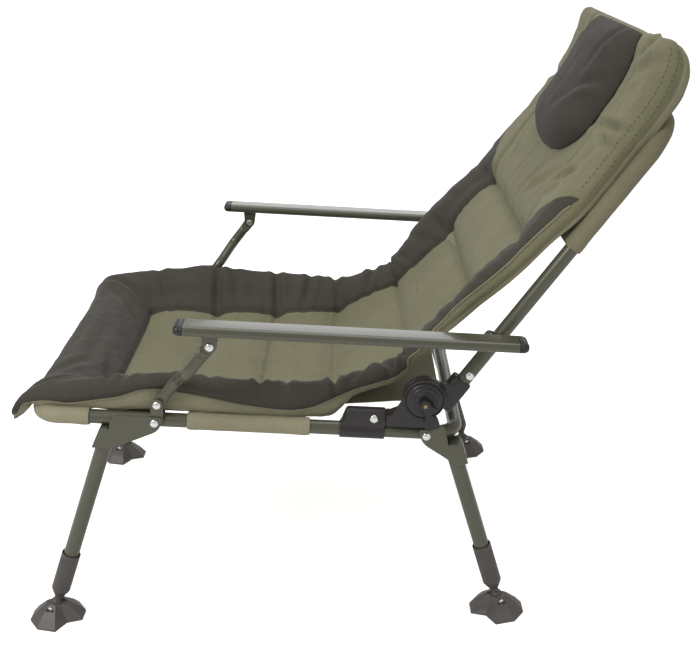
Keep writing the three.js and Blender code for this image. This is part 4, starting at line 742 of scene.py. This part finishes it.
piping = joined(*[cord_shape(seam_line(far, -604, 352), 1.5) for far in (False, True)])
two_tone = cloth_finish("brown_and_olive_polyester", (0.160, 0.152, 0.086), (0.192, 0.182, 0.106))
how_deep = two_tone.node_tree.nodes.new("ShaderNodeAttribute")
how_deep.attribute_name = "brown_depth"
in_brown = spread(two_tone.node_tree, how_deep.outputs["Fac"], 0, 1, -0.4, 0.4)
cloth_colour = two_tone.node_tree.nodes["Principled BSDF"].inputs["Base Color"]
woven = cloth_colour.links[0].from_socket
dyed = mixed(two_tone.node_tree, "MULTIPLY", in_brown, woven, (0.300, 0.282, 0.380, 1))
two_tone.node_tree.links.new(dyed, cloth_colour)
thread = finish_of("dark_olive_thread", (0.055, 0.055, 0.035), 0.7, grain=700)
hem = [i * ring_count for i in range(steps) if 372 <= labels[i] <= 596]
stitch_rows = [stitches([Vector(moved[i + column]) for i in hem], [Vector(outward[i + column]) for i in hem])
               for column in (4, 8, ACROSS - 4, ACROSS - 8)]
trim_points, trim_faces = joined(piping, *stitch_rows)
trim_finish = [PIPING] * len(piping[1])
trim_finish += [THREAD] * (len(trim_faces) - len(trim_finish))
base = len(moved)
whole = bpy.data.meshes.new("mattress")
whole.from_pydata([tuple(p) for p in moved] + [tuple(p) for p in trim_points], [],
                  [tuple(p.vertices) for p in mattress.data.polygons]
                  + [tuple(base + k for k in face) for face in trim_faces])
whole.polygons.foreach_set("use_smooth", [True] * len(whole.polygons))
depth_of = whole.attributes.new("brown_depth", "FLOAT", "POINT")
depth_of.data.foreach_set("value", list(brown_depth.ravel()) + [-9.0] * len(trim_points))
for material in (two_tone, underside_painted_light_cloth, piping_cloth, thread):
    whole.materials.append(material)
whole.polygons.foreach_set("material_index", face_finish + trim_finish)
mattress.data = whole
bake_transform(mattress)
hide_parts("seat_pad", "back_pad")

# Head pillow: a brown bag of wadding, sewn to the face of the mattress round its edge. Its lower
# end is round and its top runs over the mattress's top edge.
PILLOW_HALF, PILLOW_LOW, PILLOW_TOP, PILLOW_RISE = 158, 381, 596, 35
ACROSS_PILLOW, BEHIND_PILLOW = 56, 12
PILLOW_FOLDS = [(500, 100, 75, 44, 9, 4.5), (478, 70, 55, 46, 9, 3), (560, 70, 20, 60, 11, 3.5),
                (575, -90, 40, 50, 10, 2.5), (470, -20, 5, 50, 12, 1.5)]
face_a = [along * BACK_REACH for along, *_ in BACK_ROWS]
face_p = [[middle * PAD_DEEP] for *_, middle, _ in BACK_ROWS]
pillow_rings = []
for t in np.linspace(0, 1, 64):
    a = PILLOW_LOW + (PILLOW_TOP - PILLOW_LOW) * t
    up = min(1.0, (a - PILLOW_LOW) / 78)
    half = PILLOW_HALF * (1 - (1 - up) ** 2.4) ** (1 / 2.4) * (1 - 0.10 * max(0, t - 0.75) / 0.25)
    half = max(half, 8)
    face = float(through(face_p, face_a, [a])[0, 0]) - 1.0
    swell = (1 - (1 - min(1, (a - PILLOW_LOW) / 60)) ** 2.2) * (1 - 0.75 * max(0.0, (a - 548) / 48) ** 1.6)
    ring = []
    for k in range(ACROSS_PILLOW + 1):
        share = math.cos(math.pi * k / ACROSS_PILLOW)
        x = share * half
        height = PILLOW_RISE * swell * (1 - abs(share) ** 3.2) ** 0.62
        dents = (1.4 * noise.noise(Vector((x / 46, a / 40, 7)))
                 + 0.5 * noise.noise(Vector((x / 16, a / 18, 2))))
        for at, mid, heading, length, width, deep in PILLOW_FOLDS:
            along_fold, off_fold = from_fold(a, x, at, mid, heading)
            ridge = near(off_fold, width) - 0.7 * near(off_fold - 2 * width, width)
            dents -= deep * near(along_fold, length) * ridge
        height += dents * min(1, height / 14)
        ring.append(on_back(x, face - max(0.4, height), a))
    for k in range(1, BEHIND_PILLOW):
        ring.append(on_back(-half + 2 * half * k / BEHIND_PILLOW, face, a))
    pillow_rings.append(ring)
pillow = new_mesh("head_pillow_bag", *skin(pillow_rings), [brown_cloth], "backrest", ["head_pillow"], sharp=0)

# Sling: one olive panel stretched under the mattress, hemmed into sleeves that the rails run through
# and cut back where the leg brackets and clamps sit.
SLEEVE_OUTER, SLEEVE_BORE, COVER_BORE = 13.3, 11.35, 11.4
SLEEVE_FRONT, MID_FROM, MID_TO, PANEL_FRONT, PANEL_REAR = -501, -353, -168.3, -567, 38


def bored(outer, inner):
    """A tubular piece between two stacks of rings of equal count, closed at both ends."""
    count, rows_in = len(outer[0]), len(outer)
    points = [p for ring in outer + inner for p in ring]
    start = rows_in * count
    faces = band(0, rows_in, count) + band(start, rows_in, count, inward=True)
    for i, turned in ((0, False), (rows_in - 1, True)):
        for j in range(count):
            a, b = i * count + j, i * count + (j + 1) % count
            face = (b, a, start + a, start + b)
            faces.append(tuple(reversed(face)) if turned else face)
    return points, facing_out(points, faces)


def sleeve(stations, bore, seed, sides=40):
    """A fabric tube round a rail, open at both ends, a little uneven, with raised hems."""
    last, rings = len(stations) - 1, []
    for i, ring in enumerate(tube_rings(stations, SLEEVE_OUTER * MM, sides)):
        centre = stations[i][0]
        hem_rise = 0.5 if 0 < i < 3 or last - 3 < i < last else 0.0
        rings.append([p + (p - centre).normalized() * MM
                      * (0.5 * noise.noise(p * 45 + Vector((seed, 0, 0))) + hem_rise) for p in ring])
    return bored(rings, tube_rings(stations, bore * MM, sides))


def refined(stations, steps_mm=6):
    """More stations along the straight runs of a bent line."""
    made = []
    for (a, ha), (b, hb) in zip(stations, stations[1:]):
        count = max(1, int((b - a).length / MM / steps_mm))
        for k in range(count):
            made.append((a + (b - a) * k / count, ha.lerp(hb, k / count).normalized()))
    return made + [stations[-1]]


sleeves = [sleeve(refined(rail_hoop(SLEEVE_FRONT, -FRONT_REACH, FRONT_BEND)), SLEEVE_BORE, 1)]
for _, side in SIDES:
    middle_run = bent_line([on_seat(side * RAIL_X, u, 0) for u in (MID_FROM, MID_TO)], 0)
    sleeves.append(sleeve(refined(middle_run), SLEEVE_BORE, 3 + side))
panel_rows = []
for u in np.linspace(PANEL_FRONT, PANEL_REAR, 60):
    wide = 266 if MID_FROM < u < MID_TO or u < SLEEVE_FRONT else 259
    wide -= 70 * np.clip((u + 172) / 30, 0, 1) ** 0.7 if u > -172 else 0
    row = [on_seat(x, u, 9.4 - sag(u, x) - 1.2 * math.cos(x / 270 * math.pi / 2)
                   + 0.5 * noise.noise(Vector((x / 60, u / 60, 0))))
           for x in np.linspace(-wide, wide, 48)]
    panel_rows.append(row + [p + Vector((0, 0, -1.4 * MM)) for p in reversed(row)])
sling = new_mesh("seat_sling_panel", *joined(skin(panel_rows), *sleeves), [sleeve_cloth], "seat",
                 ["seat_sling"])

# Back cover: an olive sleeve pulled down over the top of the back hoop, with a panel between its
# tubes and a hem at its lower edge.
COVER_HEM, COVER_HALF, COVER_TOP = 304, 278, BACK_REACH + 3
cover_sleeve = sleeve(refined(back_hoop_line(COVER_HEM)), COVER_BORE, 9)
panel_front = TUBE_BEHIND - 12.9
cover_rows = []
for a in np.linspace(COVER_HEM, COVER_TOP, 40):
    wide = COVER_HALF - max(0.0, a - (BACK_REACH - 45)) * 0.45
    row = [on_back(x, panel_front, a) for x in np.linspace(-wide, wide, 40)]
    behind = [on_back(x, panel_front + 1.9 + 0.5 * noise.noise(Vector((x / 40, a / 40, 5))), a)
              for x in np.linspace(wide, -wide, 40)]
    cover_rows.append(row + behind)
cover = new_mesh("back_cover_sleeve", *joined(skin(cover_rows), cover_sleeve), [olive_cloth], "backrest",
                 ["back_cover"])

# Recliners: dark moulded nylon, one each side. A clamp binds the base to the rail; the base's round
# cheek covers the disc of the socket, which holds the back tube; a lever on the pivot tightens both.
dark_nylon = finish_of("dark_brown_nylon", (0.019, 0.016, 0.015), 0.38, grain=520, depth=0.35, vary=0.10)
black_nylon = finish_of("black_nylon", (0.012, 0.012, 0.012), 0.36, grain=420, depth=0.25, vary=0.10)
brass = finish_of("brass_pin", (0.40, 0.28, 0.12), 0.42, metal=1.0, grain=300, depth=0.08, vary=0.05)
PIVOT_UP, TUBE_BORE, NECK_ROUND = 64.5, 11.3, 32.9
# Turned parts as (radius, distance from the middle of the chair)
CHEEK = [(30.6, 300.3), (31, 301), (31, 306.6), (30.2, 307.6), (28.9, 307.8), (28.6, 306.2), (27.2, 306.2),
         (26.9, 308.2), (25.4, 309.6), (22.0, 310.2), (21.6, 311.9), (20.6, 312.8), (15.6, 313.2),
         (15.2, 314.6), (14.2, 315.7), (9.4, 316.0), (2.0, 316.0)]
PIT = [(2.1, 312.2), (2.1, 313.15), (1.5, 313.2), (1.3, 312.9), (0.2, 312.9)]
PIT_TURNS, PIT_FROM_PIVOT = (38, 142, 218, 322), 18.4
DISC = [(31.4, 287), (32, 287.6), (32, 299), (31.4, 299.6)]
HUB = [(8.3, 316.7), (8.5, 317.2), (8.5, 328.6), (7.9, 329.4), (5.4, 329.6)]
NUT = [(9.1, 280.8), (9.2, 281.4), (9.2, 286.2), (8.4, 286.8)]
PIVOT_BOLT, BOLT_END = [(4.8, 286.0), (4.8, 328.8)], [(3.0, 328.9), (3.0, 329.6), (2.4, 329.95), (0.5, 330.0)]
# Outlines beside the rail, as (along, above)
neck_arc = [(-NECK_ROUND * math.cos(t), PIVOT_UP - NECK_ROUND * math.sin(t))
            for t in np.linspace(math.radians(108), math.radians(37), 14)]
inner_neck = [(-54, 17.7), (8.5, 17.7), (10.3, 26.8)] + neck_arc + [(-48, 34.5), (-54, 34.5)]
outer_neck = rounded([(-54, 17.7, 0.1), (8.5, 17.7, 0.15), (22.3, 49), (0, 80), (-31, 64.5),
                      (-48, 34.5, 0.3), (-54, 34.5, 0.1)])
NECK_FOOT = [(-56, 12.5), (-56, 33.5), (-46, 33.5), (-40, 12.5)]
# The clamp's (place along the rail, top), and the socket's (place up the tube, front, rear, half width)
CLAMP = [(-123, 12.9), (-122, 13.6), (-114.5, 35), (-112, 37.1), (-109, 37.4), (-80, 37.4), (-57, 37.4),
         (-55, 36.6)]
CLAMP_BELOW, CLAMP_HALF, CLAMP_OUTSET = 13.9, 10.1, 3.5
SOCKET = [(0.5, 11.6, 11.6, 12.2), (1.4, 12.4, 12.2, 13.2), (6, 16.2, 12.6, 13.9), (13, 17, 12.8, 14),
          (49, 17, 12.8, 14), (51.2, 16.6, 12.5, 13.6), (52, 15.6, 12.0, 13.0)]
SOCKET_WEB = [(0, 29.5), (28, 41), (28, 14), (0, -16)]


def squared(half_x, low, high, power=7.0, sides=48):
    """A rounded box outline of (x, y) about the origin, its points spread by angle."""
    ring = []
    for c, s in circle(1, sides):
        reach = high if s > 0 else low
        scale = (abs(c / half_x) ** power + abs(s / reach) ** power) ** (-1 / power)
        ring.append((scale * c, scale * s))
    return ring


def clamp_outline(top):
    """The clamp across the rail: round below, boxed above."""
    ring = []
    for (x, y), (low_x, low_y) in zip(squared(CLAMP_HALF, CLAMP_BELOW, top), circle(CLAMP_BELOW, 48)):
        if low_y < 0:
            x, y = low_x, low_y
        elif y <= 11:
            x = math.copysign(max(abs(x), abs(low_x)), x)
        ring.append((x, y))
    return ring


def socket_outline(_, front, rear, half):
    """The socket's block across the back tube."""
    return squared(half, front, rear, 5.0)


def tube_outline(*_):
    """The bore that a tube stands in."""
    return circle(TUBE_BORE, 48)


def off_pivot(degrees, d, w):
    """The place (u, v) at a distance d from the pivot along a heading, and w square to it."""
    c, s = math.cos(math.radians(degrees)), math.sin(math.radians(degrees))
    return c * d - s * w, PIVOT_UP + s * d + c * w


def arm_outline(reach, degrees, neck, paddle):
    """A lever arm: a neck from the pivot that widens to a paddle."""
    root = reach * 0.45
    return rounded([(*off_pivot(degrees, d, w), share) for d, w, share in (
        (0, neck, 0), (0, -neck, 0), (root, -neck, 0.45), (root + neck, -paddle, 0.4), (reach, -paddle, 0.42),
        (reach, paddle, 0.42), (root + neck, paddle, 0.4), (root, neck, 0.45))])


ridge_outlines = [[off_pivot(-70, d + t, w) for t, w in ((-1, -7.5), (1, -7.5), (1, 7.5), (-1, 7.5))]
                  for d in (21, 25.5, 30)]
for side_name, side in SIDES:
    def on_pivot(a, b, x):
        """A place square to the pivot's axis (a, b), at a distance x from the middle of the chair."""
        return on_seat(side * x, a, PIVOT_UP + b)

    def pit_at(degrees):
        """A moulded pit in the face of the cheek."""
        u, v = off_pivot(degrees, PIT_FROM_PIVOT, 0)
        return spun(PIT, lambda a, b, x: on_seat(side * x, u + a, v + b), 20)

    def beside_rail(outlines):
        """Slabs of (outline, from, to), the last two as distances from the middle of the chair."""
        return [slab(outline, on_seat, side * x0, side * x1) for outline, x0, x1 in outlines]

    neck = beside_rail([(inner_neck, 276, 300.2), (outer_neck, 300.2, 304), (NECK_FOOT, 276.5, 290.5)])
    piece("recliner_base_shell_" + side_name, joined(*neck, spun(CHEEK, on_pivot, 64)), dark_nylon, "seat",
          ["recliner_base_" + side_name], (0.9, 3))
    piece("recliner_pits_" + side_name, joined(*[pit_at(degrees) for degrees in PIT_TURNS]), black_nylon,
          "seat")

    clamp_rings = [[on_seat(side * (RAIL_X + x + CLAMP_OUTSET * min(1, max(0, (y - 8) / 8))), u, y)
                    for x, y in clamp_outline(top)] for u, top in CLAMP]
    clamp_bore = [[on_seat(side * (RAIL_X + x), u, y) for x, y in tube_outline()] for u, _ in CLAMP]
    piece("recliner_clamp_sleeve_" + side_name, bored(clamp_rings, clamp_bore), dark_nylon, "seat",
          ["recliner_clamp_" + side_name], (0.8, 3))

    disc = spun(DISC, lambda a, b, x: on_back(side * x, a, b), 64)
    web = slab(SOCKET_WEB, on_back, side * 287.4, side * 293.6)
    block_rings, block_bore = (
        [[on_back(side * (RAIL_X + x), TUBE_BEHIND + y, row[0]) for x, y in outline(*row)] for row in SOCKET]
        for outline in (socket_outline, tube_outline))
    block = bored(block_rings, block_bore)
    piece("recliner_socket_block_" + side_name, joined(disc, web, block), dark_nylon, "backrest",
          ["recliner_socket_" + side_name], (0.7, 2))

    arms = beside_rail([(arm_outline(40, -68, 5.0, 11.0), 322.6, 329.4),
                        (arm_outline(19, -28, 4.5, 5.0), 322.6, 329.0)]
                       + [(ridge, 321.8, 322.8) for ridge in ridge_outlines])
    piece("recliner_lever_arm_" + side_name, joined(spun(HUB, on_pivot, 40), *arms), black_nylon,
          "lever_" + side_name, ["recliner_lever_" + side_name], (1.4, 3))
    piece("pivot_bolt_" + side_name, joined(spun(NUT, on_pivot, 6), spun(PIVOT_BOLT, on_pivot, 24),
                                            spun(BOLT_END, on_pivot, 32)),
          brass, "lever_" + side_name, eased=(0.4,))

# Armrests: a flat oval steel tube each side, painted like the frame, with a moulded black cap in
# each end. Under it are welded a channel for the post's eye and an angle beside the back tube.
ARM_X, ARM_LONG, CAP = 335, 503, 14
ARM_HALF, ARM_ROUND, ARM_WALL = 21, 7.5, 1.6
ARM_SLOPE, ARM_FRONT = math.radians(4.36), (-216.307, 521.5)
# Places across the chair as (y, z), and how far from its middle the post's ends lie
REAR_EYE, POST_TOP, POST_LOW = (233.693, 482.5), (-167.807, 489.5), (-259.307, 380.0)
POST_TOP_X, POST_LOW_X, EYE_HALF = 331.0, 287.7, 9.6
CHANNEL_HALF, ANGLE_HALF = 11.5, 23
NUT_UNDER = [(5.4, -9.8), (5.5, -10.5), (4.6, -14.0), (3.4, -16.2), (1.2, -16.5)]
# A cap's (distance out of the tube, share of the width, share of the thickness)
CAP_ROWS = [(-10, 0.895, 0.78), (-0.4, 0.895, 0.78), (0.3, 1.0, 1.0), (1.6, 1.012, 1.03), (2.6, 1.0, 1.0),
            (3.2, 0.985, 0.97), (3.8, 1.0, 1.0), (7, 0.985, 0.97), (10.4, 0.93, 0.86), (12.6, 0.83, 0.66),
            (13.6, 0.70, 0.42), (14, 0.5, 0.2)]


def on_arm(x, a, h):
    """A place in mm along an armrest from its front end (a) and above its middle line (h)."""
    y = ARM_FRONT[0] + a * math.cos(ARM_SLOPE) + h * math.sin(ARM_SLOPE)
    z = ARM_FRONT[1] - a * math.sin(ARM_SLOPE) + h * math.cos(ARM_SLOPE)
    return Vector((x * MM, y * MM, z * MM))


def arm_place(y, z):
    """The place (a, h) on an armrest of a point across the chair."""
    dy, dz = y - ARM_FRONT[0], z - ARM_FRONT[1]
    return (dy * math.cos(ARM_SLOPE) - dz * math.sin(ARM_SLOPE),
            dy * math.sin(ARM_SLOPE) + dz * math.cos(ARM_SLOPE))


def oval_ring(centre_x, a, half, thick):
    """A flat oval across an armrest: straight top and bottom, half round sides."""
    return [on_arm(centre_x + math.copysign(half - thick, c) + thick * c, a, thick * s)
            for c, s in circle(1, 56)]


def welded_cheek(a, h, half):
    """A sheet that hangs from the armrest's underside and rounds the eye at (a, h)."""
    return rounded([(a - half, -10.5), (a - half, -6.9), (a + half, -6.9), (a + half, -10.5),
                    (a + 9, h - 9, 0.48), (a - 9, h - 9, 0.48)])


def flange(a, half):
    """The sheet that lies against the armrest between or beside its cheeks."""
    return [(a - half, -10), (a - half, -7.2), (a + half, -7.2), (a + half, -10)]


sheet_paint = finish_of("olive_sheet_paint", (0.064, 0.062, 0.038), 0.30, coat=0.55, grain=700, depth=0.15)
eye_a, eye_h = arm_place(*POST_TOP)
rear_a, rear_h = arm_place(*REAR_EYE)
front_cheek, rear_cheek = welded_cheek(eye_a, eye_h, CHANNEL_HALF), welded_cheek(rear_a, rear_h, ANGLE_HALF)
WELDED = [(front_cheek, 333.8, 336.8), (front_cheek, 328.2, 325.2),
          (flange(eye_a, CHANNEL_HALF), 325.4, 336.6), (rear_cheek, 306, 309),
          (flange(rear_a, ANGLE_HALF), 306.2, 335)]
TUBE_ROWS = [(CAP, 0.35), (CAP + 0.5, 0)] + [(a, 0) for a in np.linspace(CAP + 20, ARM_LONG - CAP - 20, 12)] \
    + [(ARM_LONG - CAP - 0.5, 0), (ARM_LONG - CAP, 0.35)]
post_long = math.hypot(POST_TOP[0] - POST_LOW[0], POST_TOP[1] - POST_LOW[1])
for side_name, side in SIDES:
    def on_post(along, x):
        """A place on the line through the post's two pivots, at a distance x from the middle."""
        y, z = (low + (top - low) * along for low, top in zip(POST_LOW, POST_TOP))
        return Vector((side * x * MM, y * MM, z * MM))

    x = side * ARM_X
    arm_tube = bored([oval_ring(x, a, ARM_HALF - less, ARM_ROUND - less) for a, less in TUBE_ROWS],
                     [oval_ring(x, a, ARM_HALF - ARM_WALL, ARM_ROUND - ARM_WALL) for a, _ in TUBE_ROWS])
    welded = [slab(outline, on_arm, side * x0, side * x1) for outline, x0, x1 in WELDED]
    nut_under = spun(NUT_UNDER, lambda a, b, h: on_arm(side * 322 + a, rear_a + 11.5 + b, h), 28)
    piece("armrest_tube_" + side_name, joined(arm_tube, *welded, nut_under), sheet_paint,
          "armrest_" + side_name, ["armrest_" + side_name], eased=(0.7, 3))
    for end, base_a, out in (("front", CAP, -1), ("rear", ARM_LONG - CAP, 1)):
        rings = [oval_ring(x, base_a + out * d, ARM_HALF * wide, ARM_ROUND * thick)
                 for d, wide, thick in CAP_ROWS]
        piece("armrest_end_cap_" + end + "_" + side_name, skin(rings), black_nylon, "armrest_" + side_name,
              ["armrest_cap_" + end + "_" + side_name], sharp=40)

    # The post is a bent tube, pressed flat at both eyes
    over = 9.5 / post_long
    line = refined(bent_line([on_post(-over, POST_LOW_X), on_post(0.36, POST_LOW_X + 3),
                              on_post(0.62, POST_TOP_X - 3), on_post(1 + over, POST_TOP_X)], 30 * MM, 8), 2.2)
    span = sum((b[0] - a[0]).length for a, b in zip(line, line[1:])) / MM
    walked, rings = 0.0, []
    for i, (spot, heading) in enumerate(line):
        if i:
            walked += (spot - line[i - 1][0]).length / MM
        from_end = min(walked, span - walked)
        press = min(1.0, max(0.0, (from_end - 19) / 13))
        press = press * press * (3 - 2 * press)
        wide, thick = EYE_HALF - 0.6 * press, 2.5 + 6.5 * press
        if from_end < 9.5:
            wide = max(0.6, EYE_HALF * math.sqrt(max(0.0, 1 - (1 - from_end / EYE_HALF) ** 2)))
        across_it = heading.cross(Vector((1, 0, 0))).normalized()
        flat_way = heading.cross(across_it).normalized()
        power = 2.0 + 4.0 * (1 - press)
        ring = []
        for c, s in circle(1, 32):
            scale = (abs(c) ** power + abs(s) ** power) ** (-1 / power) * MM
            ring.append(spot + across_it * wide * c * scale + flat_way * thick * s * scale)
        rings.append(ring)
    piece("armrest_post_tube_" + side_name, skin(rings), olive_paint, "post_" + side_name,
          ["armrest_post_" + side_name], sharp=50)

# Legs: a folded sheet bracket turns on a bolt through the rail and is welded to a painted tube. A
# bright inner leg slides in the tube and ends in a moulded boot, whose ball sits in a mud foot.
bright_tube = finish_of("zinc_inner_leg", (0.62, 0.62, 0.60), 0.30, metal=1.0, grain=260, depth=0.1,
                        vary=0.06)
boot_nylon = finish_of("boot_nylon", (0.070, 0.059, 0.052), 0.44, grain=480, depth=0.35, vary=0.10)
foot_nylon = finish_of("foot_nylon", (0.088, 0.078, 0.070), 0.42, grain=420, depth=0.4, vary=0.14)
LEG_RADIUS, CHEEK_FROM, CHEEK_TO, WEB_HALF, STOP_TO = 12, 13.8, 16.3, 16.2, 11.3
REAR_HEEL = [(5.6, -3.55, .1), (4, -4, .3), (2.9, -3.1, .3), (-.45, -1.05, .45), (-1.1, .9, .45)]
# Per end: the bolt's place on the rail, the leg's lean, how far the leg stands from the bolt, and, in
# leg radii from the bolt, the outlines of the outer and inner cheek, the web and the stop
BRACKETS = {
    "front": (-401.5, math.radians(-20.5), 63,
              [(0, .84), (-4.98, .84, .4), (-5.5, .28, .2), (-5.72, -1.12), (-6.92, -1.12),
               (-7.95, -3.75, .1), (-6.2, -3.95, .3), (-4.3, -3.3, .3), (.55, -1.05, .45), (1.12, .84, .45)],
              None,
              [(-6.94, -1.18), (-7.8, -3.38)], (-6.8, -5.85)),
    "rear": (8.5, math.radians(15.5), 32,
             [(0, .9), (.35, .9, .3), (1.25, 1.48, .3), (2.17, 1.44, .3), (2.5, .25, .2), (2.92, -1.12),
              (4.75, -1.12), *REAR_HEEL],
             [(0, .9), (.8, .9, .4), (1.45, .1, .3), (1.75, -1.12), (4.75, -1.12), *REAR_HEEL],
             [(4.77, -1.18), (5.46, -3.16)], (3.05, 4.6))}
# The boot's (radius, height over the ball): its skin from the ball up, and its bore back down
BOOT = [(0.4, -10.0), (3.2, -9.45), (6.0, -8.0), (8.3, -5.6), (9.6, -2.8), (10.0, 0), (9.6, 2.8), (8.5, 5.3),
        (6.9, 7.25), (6.0, 8.4), (6.0, 17.0), (7.4, 17.6), (8.6, 18.2), (12.2, 24.6), (14.3, 28.9),
        (14.8, 31), (14.8, 36), (14.45, 37), (14.8, 38), (14.8, 90.6), (14.45, 91.6), (14.45, 92.4),
        (14.8, 93.2),
        (14.8, 98.6), (14.3, 99.5), (13.5, 99.5), (13.5, 57.6), (10.3, 57.4), (10.3, 41), (9.9, 40.2),
        (0.4, 40.1)]
INNER_LEG = [(9.6, 40.4), (10, 41), (10, 189), (9.2, 190)]
joint_of = {j["name"]: j for j in frame["joints"]}
for end, (bolt_u, lean, beside, outer_shares, inner_shares, web_shares, stop_shares) in BRACKETS.items():
    def scaled(shares):
        """An outline in mm from one in leg radii."""
        return [(bolt_u + u * LEG_RADIUS, v * LEG_RADIUS, *share) for u, v, *share in shares]

    outer, inner = rounded(scaled(outer_shares)), rounded(scaled(inner_shares or outer_shares))
    web = scaled(web_shares)
    inward = 2.5 if web_shares[0][0] < 0 else -2.5
    web += [(u + inward, v) for u, v in reversed(web)]
    stop_from, stop_end = (bolt_u + share * LEG_RADIUS for share in stop_shares)
    stop = [(stop_from, -CHEEK_FROM), (stop_from, -STOP_TO), (stop_end, -STOP_TO), (stop_end, -CHEEK_FROM)]
    for side_name, side in SIDES:
        tag = end + "_" + side_name
        ball = Vector(joint_of["foot_tilt_" + tag]["pos_m"])
        up = Vector(joint_of["leg_slide_" + tag]["axis"]) * (1 if end == "front" else -1)
        across_leg = up.cross(Vector((1, 0, 0))).normalized()

        def ring_at(radius, height):
            """A ring round the leg, at a height over the foot's ball."""
            return [ball + Vector((p * MM, 0, 0)) + across_leg * q * MM + up * height * MM
                    for p, q in circle(radius, 48)]

        plates = [slab(outline, on_seat, side * (RAIL_X + x0), side * (RAIL_X + x1)) for outline, x0, x1 in (
            (outer, CHEEK_FROM, CHEEK_TO), (inner, -CHEEK_FROM, -CHEEK_TO),
            (web, -WEB_HALF, WEB_HALF), (stop, -WEB_HALF, WEB_HALF))]
        leg_long = (on_seat(side * RAIL_X, bolt_u, 0) - ball).dot(up) / MM
        to_rail = lean + SEAT_TILT
        tube_top = leg_long - 14.1 * math.cos(to_rail) - abs(math.tan(to_rail)) * LEG_RADIUS \
            - abs(beside * math.sin(to_rail))
        tube = bored([ring_at(11.6, 57.8)] + [ring_at(LEG_RADIUS, z) for z in (58.4, 120, tube_top)],
                     [ring_at(10.5, z) for z in (57.8, 58.4, 120, tube_top)])
        piece("leg_tube_welded_" + tag, joined(tube, *plates), olive_paint, "leg_" + tag, ["leg_tube_" + tag],
              eased=(0.7, 2))
        piece("leg_inner_tube_" + tag, skin([ring_at(*row) for row in INNER_LEG]), bright_tube,
              "leg_extension_" + tag, ["leg_inner_" + tag])
        piece("leg_boot_shell_" + tag, skin([ring_at(*row) for row in BOOT]), boot_nylon,
              "leg_extension_" + tag, ["leg_boot_" + tag], sharp=28)
        for node, material, eased in (("foot_", foot_nylon, (1.1, 3, 24)),
                                      ("foot_pin_", bright_steel, (0.5, 2))):
            made = frame["nodes"][node + tag]
            made.data.materials.clear()
            made.data.materials.append(material)
            ease(made, *eased)
